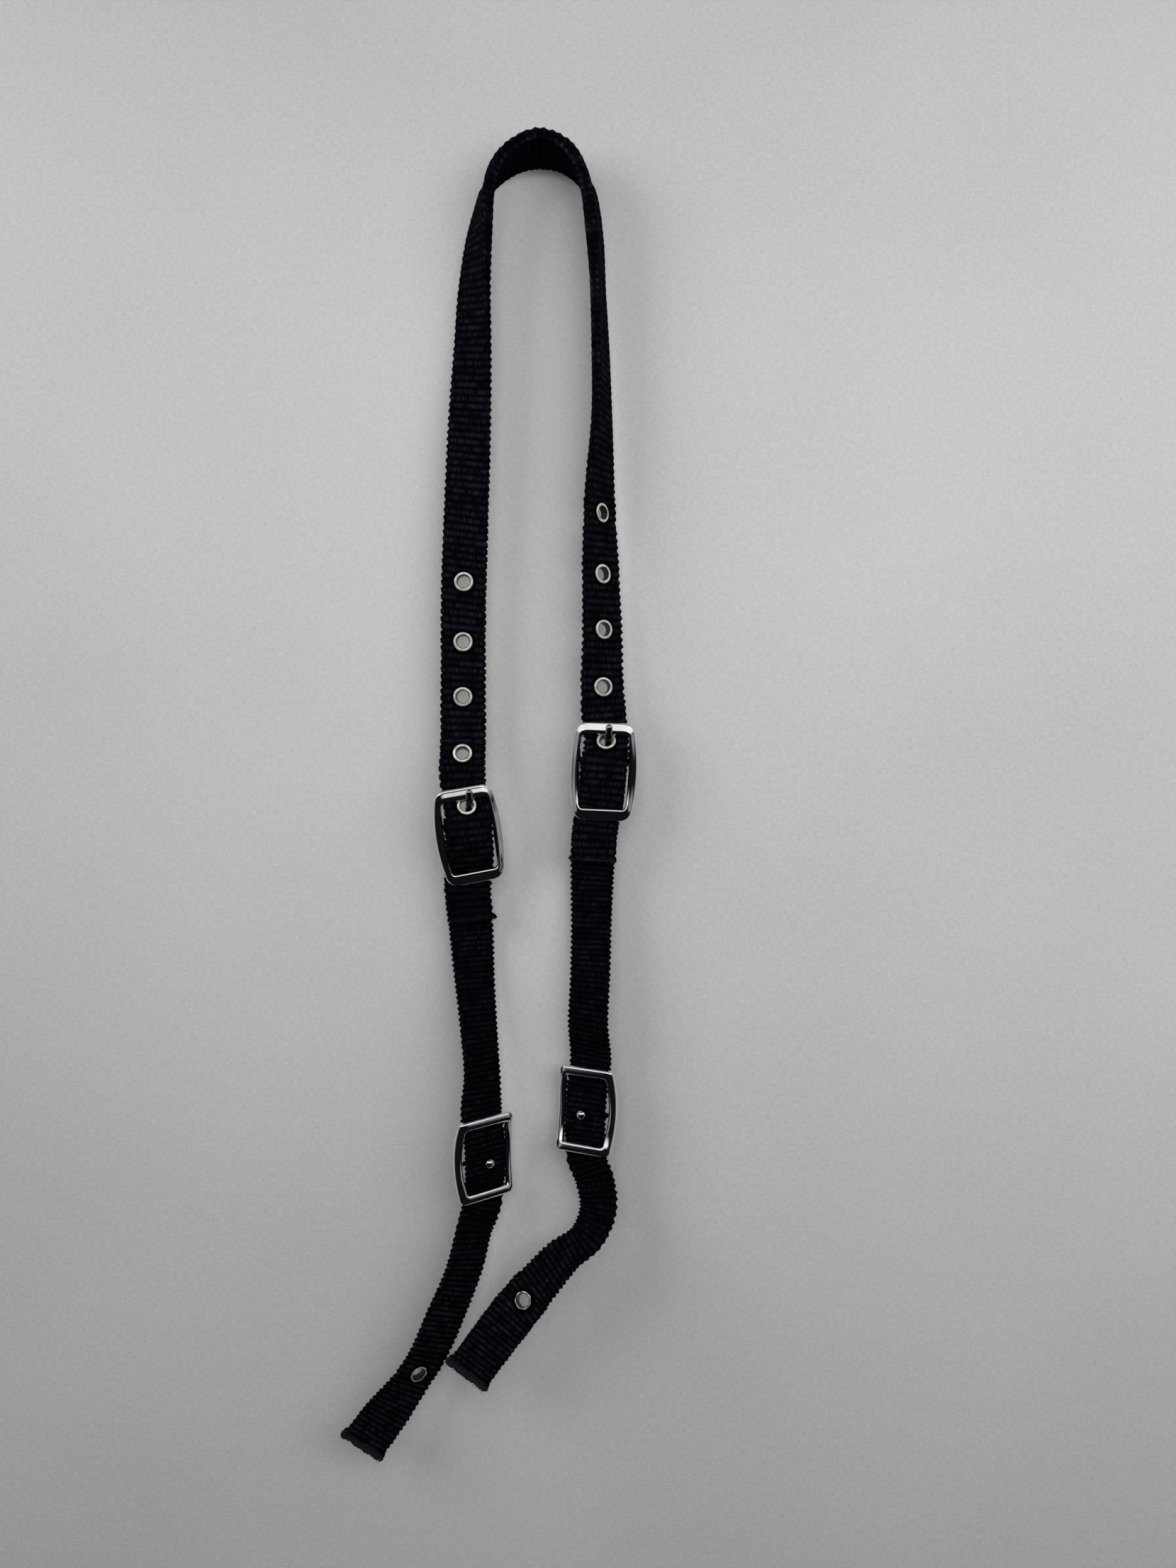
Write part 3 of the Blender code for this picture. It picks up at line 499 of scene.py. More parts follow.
def room_material():
    """What bright metal mirrors: darkness below, a bright band with two windows, a dim ceiling."""
    board = Board("dim_room")
    place = board.add("ShaderNodeTexCoord", output=3)
    height = board.add("ShaderNodeSeparateXYZ", None, {0: place}, output=2)
    across = board.add("ShaderNodeSeparateXYZ", None, {0: place}, output=0)
    rise = (height - LAMP_TARGET[2]) * (1 / ROOM_RADIUS)
    aside = board.add("ShaderNodeMath", {"operation": "ABSOLUTE"}, {0: across * (1 / ROOM_RADIUS)})
    band = board.ramp(rise, 0.22, 0.31) * board.ramp(rise, 0.80, 0.70)
    sides = board.ramp(aside, 0.78, 0.86)
    window = board.ramp(aside, 0.24, 0.27) * board.ramp(aside, 0.50, 0.47) * board.ramp(rise, 0.36, 0.38)
    window = window * board.ramp(rise, 0.54, 0.52)
    ceiling = board.ramp(rise, 0.70, 0.80)
    dark = board.mix(sides, (0.006, 0.0055, 0.0065), (0.26, 0.25, 0.27))
    lit = board.mix(band, dark, (0.92, 0.93, 0.92))
    lit = board.mix(window, lit, (2.2, 2.2, 2.2))
    board.set(
        Base_Color=opaque((0.0, 0.0, 0.0)),
        Specular_IOR_Level=0.0,
        Emission_Color=board.mix(ceiling, lit, (0.10, 0.10, 0.10)),
        Emission_Strength=1.0,
    )
    return board.material


# Meshes

def link(name, mesh, material):
    mesh.materials.append(material)
    item = bpy.data.objects.new(name, mesh)
    bpy.context.scene.collection.objects.link(item)
    return item


def add_object(name, solid, material, sharp_angle=40.0):
    """Turns a bmesh into a named, smoothly shaded object."""
    bmesh.ops.recalc_face_normals(solid, faces=solid.faces)
    mesh = bpy.data.meshes.new(name)
    solid.to_mesh(mesh)
    solid.free()
    mesh.shade_smooth()
    mesh.set_sharp_from_angle(angle=math.radians(sharp_angle))
    return link(name, mesh, material)


def add_rings(solid, rings, closed=False):
    """Skins a list of point rings, each of the same count; open runs get flat caps."""
    skins = [[solid.verts.new(point) for point in ring] for ring in rings]
    count = len(skins[0])
    pairs = list(zip(skins, skins[1:]))
    if closed:
        pairs.append((skins[-1], skins[0]))
    for near, far in pairs:
        for i in range(count):
            j = (i + 1) % count
            solid.faces.new((near[i], near[j], far[j], far[i]))
    if not closed:
        solid.faces.new(skins[0])
        solid.faces.new(skins[-1])


def oval(count, wide, tall, first=0.0):
    """Points round an oval, given by its half sizes; first is where the count starts, in steps."""
    turns = [math.tau * (k + first) / count for k in range(count)]
    return [(wide * math.cos(turn), tall * math.sin(turn)) for turn in turns]


def turned(solid, place, profile, segments):
    """Turns a profile of (radius, height) round the placed Z axis, with flat ends."""
    rings = []
    for radius, height in profile:
        rings.append([place @ Vector((x, y, height)) for x, y in oval(segments, radius, radius)])
    add_rings(solid, rings)


def add_sheet(name, grid, material):
    """Spans a smooth sheet over rows of points."""
    solid = bmesh.new()
    rows = [[solid.verts.new(point) for point in row] for row in grid]
    for near, far in zip(rows, rows[1:]):
        for k in range(len(near) - 1):
            solid.faces.new((near[k], near[k + 1], far[k + 1], far[k]))
    mesh = bpy.data.meshes.new(name)
    solid.to_mesh(mesh)
    solid.free()
    mesh.shade_smooth()
    return link(name, mesh, material)


def unite(item, *others):
    """Fuses other closed shapes into an item and removes them."""
    for other in others:
        change = item.modifiers.new("unite", "BOOLEAN")
        change.operation = "UNION"
        change.object = other
        change.solver = "EXACT"
    done = item.evaluated_get(bpy.context.evaluated_depsgraph_get())
    mesh = bpy.data.meshes.new_from_object(done)
    item.modifiers.clear()
    item.data = mesh
    for other in others:
        bpy.data.objects.remove(other, do_unlink=True)
    mesh.shade_smooth()
    mesh.set_sharp_from_angle(angle=math.radians(35.0))


# Routes

SAMPLES_PER_SPAN = 24
FLAT_FADE = 0.0016


def ease(share):
    """Goes softly from 0 to 1."""
    share = np.clip(share, 0.0, 1.0)
    return share * share * (3 - 2 * share)


class Route:
    """A smooth line through a few knots that also carries the strap's width direction."""

    def __init__(self, knots):
        points = [Vector(point) for point, across in knots]
        acrosses = [Vector(across) for point, across in knots]
        self.points = []
        self.acrosses = []
        for i in range(len(points) - 1):
            last = i == len(points) - 2
            for k in range(SAMPLES_PER_SPAN + last):
                share = k / SAMPLES_PER_SPAN
                self.points.append(blend_span(points, points, i, share))
                self.acrosses.append(blend_span(points, acrosses, i, share).normalized())
        self.lengths = [0.0]
        for near, far in zip(self.points, self.points[1:]):
            self.lengths.append(self.lengths[-1] + (far - near).length)

    @property
    def length(self):
        return self.lengths[-1]

    def tangent(self, i):
        near = max(i - 1, 0)
        far = min(i + 1, len(self.points) - 1)
        return (self.points[far] - self.points[near]).normalized()

    def place(self, i):
        """Pose at sample i: X across, Y along, Z out of the strap's outer face."""
        along = self.tangent(i)
        across = self.acrosses[i]
        across = (across - along * across.dot(along)).normalized()
        out = along.cross(across)
        pose = Matrix((across, along, out)).transposed().to_4x4()
        pose.translation = self.points[i]
        return pose

    def sample_at(self, distance):
        return min(range(len(self.lengths)), key=lambda i: abs(self.lengths[i] - distance))

    def distance_near(self, point):
        best = min(range(len(self.points)), key=lambda i: (self.points[i] - point).length)
        return self.lengths[best]

    def distance_at_height(self, height, nearest_x):
        """Where the line passes the given height on the side of nearest_x."""
        side = [i for i, point in enumerate(self.points) if point.x * nearest_x > 0]
        return self.lengths[min(side, key=lambda i: abs(self.points[i].z - height))]

    def track(self, distances, flats):
        """Points and the across and outward directions at many distances; flats are kept straight."""
        places = [self.place(i) for i in range(len(self.points))]
        rows = np.array([[*p.translation, *p.col[0][:3], *p.col[1][:3]] for p in places])
        found = np.stack([np.interp(distances, self.lengths, rows[:, k]) for k in range(9)], axis=1)
        for centre, reach in flats:
            i = self.sample_at(centre)
            share = ease((reach + FLAT_FADE - np.abs(distances - centre)) / FLAT_FADE)[:, None]
            straight = np.repeat(rows[i][None], len(distances), axis=0)
            straight[:, :3] += np.outer(distances - self.lengths[i], rows[i][6:9])
            found = found * (1 - share) + straight * share
        points, across, along = found[:, :3], found[:, 3:6], found[:, 6:9]
        along /= np.linalg.norm(along, axis=1)[:, None]
        across -= along * (across * along).sum(axis=1)[:, None]
        across /= np.linalg.norm(across, axis=1)[:, None]
        return points, across, np.cross(along, across)


def blend_span(knots, values, i, share):
    """Cubic through values[i] and values[i + 1], spaced by the distance between the knots."""
    span = (knots[i + 1] - knots[i]).length
    slopes = []
    for j in (i, i + 1):
        if 0 < j < len(knots) - 1:
            before = (knots[j] - knots[j - 1]).length
            after = (knots[j + 1] - knots[j]).length
            rise_before = (values[j] - values[j - 1]) / before
            rise_after = (values[j + 1] - values[j]) / after
            slopes.append((rise_before * after + rise_after * before) / (before + after) * span)
        else:
            k = min(j, len(knots) - 2)
            slopes.append((values[k + 1] - values[k]) / (knots[k + 1] - knots[k]).length * span)
    s2 = share * share
    s3 = s2 * share
    return (
        values[i] * (2 * s3 - 3 * s2 + 1)
        + slopes[0] * (s3 - 2 * s2 + share)
        + values[i + 1] * (3 * s2 - 2 * s3)
        + slopes[1] * (s3 - s2)
    )


def heading(degrees):
    angle = math.radians(degrees)
    return Vector((math.cos(angle), math.sin(angle), 0.0))


def with_headings(knots):
    return [(Vector(point), heading(degrees)) for point, degrees in knots]


def over_crest(knots):
    """The crown's knots, sunk a little over the poll, where the strap's front edge is tipped up."""
    tipped = []
    for point, across in with_headings(knots):
        share = min(max(1 + point.z / CREST_REACH, 0.0), 1.0)
        tip = Vector((0.0, 0.0, math.tan(math.radians(CREST_TILT)) * share))
        tipped.append((point - Vector((0.0, 0.0, CREST_SINK * share)), (across - tip).normalized()))
    return tipped


def buckle_pose(spec):
    """Local X across the buckle, Y up the strap and Z towards the viewer."""
    centre, roll, pitch, yaw = spec
    turn = Matrix.Rotation(math.radians(yaw), 4, "Z") @ Matrix.Rotation(math.radians(pitch), 4, "X")
    turn = turn @ Matrix.Rotation(math.radians(-roll), 4, "Y") @ Matrix.Rotation(math.radians(90.0), 4, "X")
    return Matrix.Translation(centre) @ turn


def local_knots(pose, points, flip=1.0):
    """Knots given in a buckle's own frame, the strap's width along the buckle's X."""
    across = (pose.to_3x3() @ Vector((flip, 0.0, 0.0))).normalized()
    return [(pose @ Vector(point), across) for point in points]


# Straps through the tongue buckle, seen from the side: (along, depth) in the buckle's frame

TOP_BAR_AT = TONGUE_BUCKLE_HEIGHT / 2 - TONGUE_BUCKLE_BAR / 2
CENTRE_BAR_HEIGHT = TOP_BAR_AT - CENTRE_BAR_BELOW_TOP
TONGUE_SLOT_END = CENTRE_BAR_HEIGHT - TONGUE_SLOT_BELOW_BAR
EYELET_TILT = math.radians(29.0)
EYELET_AT = TOP_BAR_AT - TONGUE_BUCKLE_BAR / 2 - 0.0031
FLANGE_RISE = EYELET_SEAT_GAP + EYELET_FLANGE_THICKNESS
LOOP_RADIUS = CENTRE_BAR_DIAMETER / 2 + CONTACT_GAP + HALF_WEBBING
OVER_RADIUS = LOOP_RADIUS + LAYER
BEHIND_BAR = -(TONGUE_BUCKLE_DEPTH / 2 + CONTACT_GAP + HALF_WEBBING)


def eyelet_depth():
    """Depth of the pierced strap where the tongue's eyelet just clears the top bar."""
    reach = TOP_BAR_AT * math.sin(EYELET_TILT)
    reach -= math.hypot(
        TONGUE_BUCKLE_BAR / 2 * math.sin(EYELET_TILT), TONGUE_BUCKLE_DEPTH / 2 * math.cos(EYELET_TILT))
    reach -= EYELET_SEAT_GAP + HALF_WEBBING + FLANGE_RISE
    return (reach - EYELET_AT * math.sin(EYELET_TILT)) / math.cos(EYELET_TILT)


def eyelet_line(distance):
    """A point of the tilted stretch through the eyelet, measured down the strap from it."""
    along = EYELET_AT - distance * math.cos(EYELET_TILT)
    return along, eyelet_depth() + distance * math.sin(EYELET_TILT)


def round_bar(radius, degrees):
    """A point round the centre bar; 0 is towards the viewer and 90 is up."""
    angle = math.radians(degrees)
    return CENTRE_BAR_HEIGHT + radius * math.sin(angle), -CENTRE_BAR_SETBACK + radius * math.cos(angle)


def below_centre_bar(share):
    """A height between the centre bar (share 0) and the bottom bar (share 1)."""
    return CENTRE_BAR_HEIGHT - (CENTRE_BAR_HEIGHT + TOP_BAR_AT) * share


def drift_at(side, height):
    table = STRAP_DRIFT[side]
    for (upper, first), (lower, second) in zip(table, table[1:]):
        if height >= lower:
            return first + (second - first) * min(max((upper - height) / (upper - lower), 0.0), 1.0)
    return table[-1][1]


def drifting(side, profile):
    return [(drift_at(side, height), height, depth) for height, depth in profile]


def crown_end_knots(side):
    """The crown from above the top bar to its heat-sealed end, outer face to the viewer."""
    upper = eyelet_line(-EYELET_REACH)
    bar = -TOP_BAR_AT
    fall = OVER_RADIUS - CENTRE_BAR_SETBACK - BEHIND_BAR
    return drifting(side, [
        (upper[0] + 0.0072, upper[1] - 0.0020),
        (upper[0] + 0.0010, upper[1] - 0.0005),
        eyelet_line(0.0),
        eyelet_line(EYELET_REACH),
        round_bar(OVER_RADIUS + 0.0002, 22.0),
        round_bar(OVER_RADIUS + 0.0002, 2.0),
        (below_centre_bar(0.37), BEHIND_BAR + fall * 0.87),
        (below_centre_bar(0.645), BEHIND_BAR + fall * 0.50),
        (bar + TONGUE_BUCKLE_BAR * 0.5, BEHIND_BAR + fall * 0.04),
        (bar, BEHIND_BAR - 0.0002),
        (bar - TONGUE_BUCKLE_BAR * 0.6, BEHIND_BAR - 0.0001),
        (bar - TONGUE_BUCKLE_BAR / 2 - CROWN_TAIL_LENGTH[side], BEHIND_BAR + CROWN_TAIL_FORWARD[side]),
    ])


def cheek_fold_knots(side):
    """The cheek strap's fold round the centre bar: loose end behind, loop, then the front layer."""
    bar = -TOP_BAR_AT
    fall = OVER_RADIUS - CENTRE_BAR_SETBACK - BEHIND_BAR
    front = BEHIND_BAR - LAYER
    back = front - LAYER
    shift = drift_at(side, CENTRE_BAR_HEIGHT)
    loop = [(shift, *round_bar(LOOP_RADIUS, 180.0 - 45.0 * k)) for k in range(5)]
    behind = [
        (bar - TONGUE_BUCKLE_BAR / 2 - FOLD_LENGTH, back - 0.0022),
        (bar - TONGUE_BUCKLE_BAR / 2, back - 0.0014),
        (below_centre_bar(0.645), back + 0.0004),
        (below_centre_bar(0.28), -CENTRE_BAR_SETBACK - LOOP_RADIUS - 0.0006),
    ]
    ahead = [
        (below_centre_bar(0.37), BEHIND_BAR + fall * 0.87 - LAYER - 0.0003),
        (below_centre_bar(0.645), BEHIND_BAR + fall * 0.50 - LAYER - 0.0006),
        (bar + TONGUE_BUCKLE_BAR * 0.5, front + fall * 0.04 - 0.0005),
        (bar - TONGUE_BUCKLE_BAR * 0.5, front - 0.0005),
    ]
    return drifting(side, behind) + loop + drifting(side, ahead)


def stud_weave_knots():
    """The cheek strap behind the top bar, over the centre bar and behind the bottom bar."""
    bar = STUD_BUCKLE_HEIGHT / 2 - STUD_BUCKLE_BAR / 2
    behind = -(STUD_BUCKLE_DEPTH / 2 + CONTACT_GAP + HALF_WEBBING)
    over = -STUD_BUCKLE_RAIL_DIP - STUD_LIFT + STUD_BAR_DIAMETER / 2 + CONTACT_GAP + HALF_WEBBING
    return [
        (0.0, bar + 0.0040, behind - 0.0007),
        (0.0, bar, behind - 0.0003),
        (0.0, bar * 0.48, (over + behind) / 2 + 0.0006),
        (0.0, -STUD_BAR_DROP, over),
        (0.0, -bar * 0.6, (over + behind) / 2 + 0.0006),
        (0.0, -bar, behind - 0.0003),
        (0.0, -bar - 0.0040, behind - 0.0007),
    ]


def crown_route():
    left_end = local_knots(buckle_pose(TONGUE_BUCKLES["left"]), crown_end_knots("left"), -1.0)
    right_end = local_knots(buckle_pose(TONGUE_BUCKLES["right"]), crown_end_knots("right"))
    return Route(
        left_end[::-1]
        + over_crest(CROWN_LEFT)[::-1]
        + over_crest(CROWN_TOP)
        + over_crest(CROWN_RIGHT)
        + right_end
    )


def cheek_route(side):
    fold = local_knots(buckle_pose(TONGUE_BUCKLES[side]), cheek_fold_knots(side))
    weave = local_knots(buckle_pose(STUD_BUCKLES[side]), stud_weave_knots())
    return Route(fold + with_headings(CHEEK_RUN[side]) + weave + with_headings(BIT_TAB[side]))


def crown_eyelet_distances(route, side):
    """Eyelets from the top down; the last is the tongue's."""
    sign = -1 if side == "left" else 1
    pose = buckle_pose(TONGUE_BUCKLES[side])
    tongue_eyelet = pose @ Vector((drift_at(side, EYELET_AT), EYELET_AT, eyelet_depth()))
    distances = [route.distance_at_height(height, sign) for height in CROWN_EYELET_HEIGHTS[side]]
    return distances + [route.distance_near(tongue_eyelet)]


# Webbing straps

ROWS_PER_RIB = 4
SELVEDGE_ROWS = 7
SELVEDGE_INSET = 0.0008
SELVEDGE_LOOP = 0.00042
# The weft loops of an edge: where each stands round it, in degrees, and how far along the rib, as a share
SELVEDGE_LOOPS = ((38.0, 0.45), (-38.0, 0.68))
YARN_LEAN = 0.30
HOLE_RADIUS = EYELET_BORE / 2 + EYELET_WALL + EYELET_SEAT_GAP
RIM_MARGIN = 0.002
PRESSED_REACH = 0.0018
DIMPLE_REACH = 0.0034
STUD_PRESSED = 0.0012

# How uneven the weave and its cut ends are
WIDTH_WAVE = 0.010
RIB_WAVE = 0.00030
YARN_SWELL = 0.00008
YARN_JITTER = 0.00006
PRESSED_SINK = 0.00006
EDGE_YARN_SINK = 0.00012
EDGE_SINK = 0.00010
MELTED_LUMPS = 0.00012
CUT_WAVE = 0.00045
CUT_ROUGHNESS = 0.00060

# Half the thickness of the webbing's edges at each height, from the lowest point up
CROWN_PLUMP = ((-0.245, 0.0013), (-0.200, 0.0015), (-0.170, 0.0017), (-0.140, 0.0021), (-0.060, 0.0024),
               (-0.040, 0.0030), (-0.004, 0.0030))
CHEEK_PLUMP = ((-0.520, 0.0015), (-0.490, 0.0015), (-0.468, 0.0013), (-0.404, 0.0013), (-0.390, 0.0016),
               (-0.362, 0.0016), (-0.346, 0.0013))
# Each sealed end: whether it is the route's start, how far it is melted, and how far its two corners bulge
CROWN_ENDS = ((True, 0.0018, 0.0021, 0.0011), (False, 0.0015, 0.0016, 0.0008))
CHEEK_ENDS = ((False, 0.0040, 0.0017, 0.0016),)
# Painted light and shade: how light the yarn is painted at each height, from the lowest point up
CROWN_PAINTED_SHADE = ((-0.330, 0.40), (-0.310, 0.90), (-0.270, 1.05), (-0.180, 1.05))
CHEEK_PAINTED_SHADE = ((-0.515, 1.35), (-0.490, 1.0), (-0.462, 0.45), (-0.442, 0.75), (-0.428, 0.80), (-0.410, 0.55),
               (-0.300, 0.70))
# The back face's yarn is painted darker, as shade
BACK_PAINTED_SHADE = 0.35
BACK_PATTERN_SHIFT = 0.1
# How the crown's ribs run askew, by height
LEFT_SKEW = ((-0.260, 0.0), (-0.204, 0.09), (-0.148, 0.12), (-0.098, 0.17), (-0.070, 0.20), (-0.020, 0.0))
RIGHT_SKEW = ((-0.200, 0.0), (-0.160, -0.05), (-0.100, -0.05), (-0.060, 0.0))


class RoundHole:
    """A round hole at a distance along the strap, pressed flat around by an eyelet's flange."""

    def __init__(self, distance, radius, pressed):
        self.distance = distance
        self.radius = radius
        self.pressed = pressed
        self.reach = radius + RIM_MARGIN

    def covers(self, across, along):
        return np.hypot(across, along - self.distance) < self.radius

    def to_rim(self, across, along):
        away = np.hypot(across, along - self.distance)
        scale = self.radius / np.maximum(away, 1e-9)
        return across * scale, self.distance + (along - self.distance) * scale

    def relief(self, across, along, reach):
        """0 under the flange, 1 at the given reach outside it."""
        away = np.hypot(across, along - self.distance)
        return np.clip((away - self.pressed) / reach, 0.0, 1.0)


class Slot:
    """A slot along the strap, for the tongue, a little aside of the strap's middle."""

    def __init__(self, start, end, aside, width):
        self.start = start
        self.end = end
        self.low = aside - width / 2
        self.high = aside + width / 2
        self.distance = (start + end) / 2
        self.reach = (end - start) / 2 + RIM_MARGIN

    def covers(self, across, along):
        return (across > self.low) & (across < self.high) & (along > self.start) & (along < self.end)

    def to_rim(self, across, along):
        return np.clip(across, self.low, self.high), np.clip(along, self.start, self.end)

    def relief(self, across, along, reach):
        return np.ones_like(across)


def smooth_noise(random, count, step):
    """Slow unevenness along a strap: about one swing every step samples, from -1 to 1."""
    knots = random.uniform(-1.0, 1.0, count // step + 3)
    return np.interp(np.arange(count) / step, np.arange(len(knots)), knots)[:, None]


def by_height(route, table, distances):
    """A value at each distance, from a table of heights that runs from the lowest point up."""
    heights = np.interp(distances, route.lengths, [point.z for point in route.points])
    return np.interp(heights, [height for height, value in table], [value for height, value in table])


def crown_skew(route, distances):
    """How far the crown's ribs run askew of square, as a slope, on each leg."""
    leg = np.interp(distances, route.lengths, [point.x for point in route.points])
    left = by_height(route, LEFT_SKEW, distances)
    right = by_height(route, RIGHT_SKEW, distances)
    return np.where(leg < 0.0, left, right)


def no_skew(route, distances):
    return np.zeros_like(distances)


def yarn_tint(strokes):
    """How light the floats are, from one random stroke each."""
    return 0.06 + 1.5 * strokes ** 1.3


class Weave:
    """A strap's weave as a grid, rows along it and columns across it, and what is melted or pierced."""

    def __init__(self, name, route, holes, ends, plump, shade, pitch, skew):
        self.look = bpy.context.scene.headstall_webbing
        self.random = np.random.RandomState(self.look.seed + len(name))
        self.route = route
        self.pitch = pitch
        self.columns = 2 * self.look.yarns_across + 1
        self.ribs = max(round(route.length / pitch), 1)
        self.rows = self.ribs * ROWS_PER_RIB + 1
        row = np.arange(self.rows)
        self.rib = row // ROWS_PER_RIB
        self.phase = ((row % ROWS_PER_RIB) / ROWS_PER_RIB)[:, None]
        self.swell = np.sin(np.pi * self.phase) ** 0.80
        self.inner = WEBBING_WIDTH / 2 - SELVEDGE_INSET
        self.across = np.linspace(-self.inner, self.inner, self.columns)[None, :] * np.ones((self.rows, 1))
        self.share = self.across / self.inner
        square = row * (route.length / (self.rows - 1))
        self.along = square[:, None] + skew(route, square)[:, None] * self.across
        self.melt(ends)
        self.pierce(holes)
        self.width_wave = 1.0 + WIDTH_WAVE * smooth_noise(self.random, self.rows, 40)
        self.rib_wave = RIB_WAVE * smooth_noise(self.random, self.rows, 60) * np.sin(self.share * 1.4)
        # Painted light and shade on the yarn, by height
        self.light = by_height(route, shade, self.along[:, :1])
        extra = (by_height(route, plump, self.along[:, :1]) - HALF_WEBBING) * self.dimple
        self.edge_half = HALF_WEBBING + extra
        self.face_half = HALF_WEBBING + extra * (0.55 + 0.45 * np.abs(self.share) ** 6)

    def melt(self, ends):
        """Marks how far each point is melted, and the blobs that melting leaves at the corners."""
        self.melted = np.zeros_like(self.along)
        self.blobs = np.zeros_like(self.along)
        for at_start, reach, low_corner, high_corner in ends:
            away = self.along if at_start else self.route.length - self.along
            self.melted = np.maximum(self.melted, np.clip(1.0 - away / reach, 0.0, 1.0))
            corner = np.where(self.share > 0, high_corner, -low_corner)
            hump = np.exp(-((away - reach * 0.4) / (reach * 0.55)) ** 2)
            self.blobs += corner * np.abs(self.share) ** 5 * hump
        self.sealed = np.clip(self.melted * 2.2, 0.0, 1.0)
        self.thin = 1.0 - 0.30 * self.melted ** 0.7

    def pierce(self, holes):
        """Takes out the cells under the holes, draws the rest up to their rims and presses them flat."""
        gone = np.zeros((self.rows, self.columns), bool)
        self.relief = 1.0 - 0.75 * self.sealed
        self.dimple = np.ones((self.rows, self.columns))
        for hole in holes:
            gone |= hole.covers(self.across, self.along)
            self.relief *= hole.relief(self.across, self.along, PRESSED_REACH)
            self.dimple *= ease(hole.relief(self.across, self.along, DIMPLE_REACH))
        self.cell_gone = gone[:-1, :-1] | gone[1:, :-1] | gone[:-1, 1:] | gone[1:, 1:]
        touched = np.zeros_like(gone)
        for corner in (touched[:-1, :-1], touched[1:, :-1], touched[:-1, 1:], touched[1:, 1:]):
            corner |= self.cell_gone
        self.rim = touched & ~gone
        self.rim_across = self.across.copy()
        self.rim_along = self.along.copy()
        for hole in holes:
            here = self.rim & (np.abs(self.along - hole.distance) < hole.reach)
            across, along = hole.to_rim(self.across, self.along)
            self.rim_across[here] = across[here]
            self.rim_along[here] = along[here]

    def cut(self, melted, share, along):
        """The knife's uneven cut, in the last millimetre of a sealed end."""
        towards = np.where(along > self.route.length / 2, 1.0, -1.0)
        wave = CUT_WAVE * (np.sin(share * 4.6 + 1.2) + 0.6 * np.sin(share * 10.5))
        rough = CUT_ROUGHNESS * self.random.uniform(-1.0, 0.6, melted.shape)
        return towards * (wave + rough) * np.clip(melted * 3 - 2, 0.0, 1.0)

    def face(self, sign):
        """Yarn floats of the front (sign 1) or the back (sign -1): across, along, out, lift, and each float's
        random lightness times the painted shade.
        """
        parity = (np.arange(self.columns)[None, :] + self.rib[:, None] + (sign < 0)) % 2
        strokes = self.random.uniform(0.0, 1.0, (self.ribs + 1, self.columns))[self.rib]
        gap = parity * self.look.yarn_relief * self.swell
        groove = self.look.groove_depth * (1.0 - self.swell) * (0.8 + 0.4 * strokes)
        crest = (1 - parity) * YARN_SWELL * (strokes - 0.5) * self.swell
        sink = (gap + groove) * self.relief + PRESSED_SINK * (1 - self.relief) - crest * self.relief
        sink[:, (0, -1)] += EDGE_YARN_SINK
        lumps = MELTED_LUMPS * self.sealed * self.random.uniform(-1.0, 1.0, sink.shape)
        out = sign * (self.face_half * self.thin - sink + lumps)
        lean = -sign * YARN_LEAN * self.pitch * (self.phase - 0.5) * self.swell * self.relief
        jitter = self.random.uniform(-YARN_JITTER, YARN_JITTER, sink.shape)
        shift = (lean + jitter) * (1 - self.share ** 8)
        across = (self.across + shift) * self.width_wave + self.blobs
        along = self.along + self.rib_wave * self.relief + self.cut(self.melted, self.share, self.along)
        across[self.rim] = self.rim_across[self.rim]
        along[self.rim] = self.rim_along[self.rim]
        deepest = self.look.yarn_relief + self.look.groove_depth * 0.6
        # How high each point stands; the material paints the low points dark as shade in the gaps and grooves
        lift = np.clip(1.0 - (gap + groove) / deepest, 0.0, 1.0) * (0.15 + 0.85 * self.relief)
        # The back face gets a painted shade on top of the painted shade by height
        light = self.light if sign > 0 else self.light * BACK_PAINTED_SHADE
        return across, along, out, lift, light * yarn_tint(strokes)

    def selvedge(self, sign):
        """Weft loops of the right edge (sign 1) or the left edge (sign -1), in the same five values."""
        column = -1 if sign > 0 else 0
        sealed = self.sealed[:, :1]
        turns = np.radians(90.0 - (np.arange(SELVEDGE_ROWS) + 1) * 180.0 / (SELVEDGE_ROWS + 1))[None, :]
        weft = np.cos(np.pi * (self.rib[:, None] + self.phase) + (np.pi if sign > 0 else 0.0))
        every = np.cos(2 * np.pi * self.phase + np.pi)
        bulge = self.look.scallop * (0.35 * weft + every) * (1 - sealed)
        bulge = bulge * (1 + 0.5 * smooth_noise(self.random, self.rows, 7))
        loops = np.zeros((self.rows, SELVEDGE_ROWS))
        for middle, offset in SELVEDGE_LOOPS:
            near = np.exp(-((np.degrees(turns) - middle) / 24.0) ** 2)
            loops += near * (0.5 + 0.5 * np.cos(2 * np.pi * (self.phase - offset))) ** 0.8
        loops *= 1 - 0.8 * sealed
        reach = SELVEDGE_INSET * np.cos(turns) ** 0.7 + SELVEDGE_LOOP * (loops - 0.45) + bulge
        across = sign * (self.inner + reach) * self.width_wave + self.blobs[:, column, None]
        tall = self.edge_half[:, column, None] - EDGE_SINK
        out = tall * np.sign(turns) * np.abs(np.sin(turns)) ** 0.85 * self.thin[:, :1]
        rail = self.along[:, column, None]
        along = rail + 0.18 * self.pitch * np.sin(2 * turns) * (1 - sealed)
        along = np.clip(along, self.along[0, 0], self.along[-1, 0]) + self.cut(self.melted[:, :1], sign, rail)
        strokes = self.random.uniform(0.0, 1.0, (self.ribs + 1, SELVEDGE_ROWS))[self.rib]
        return across, along, out, np.clip(0.35 + 0.65 * loops, 0, 1), self.light * yarn_tint(strokes)

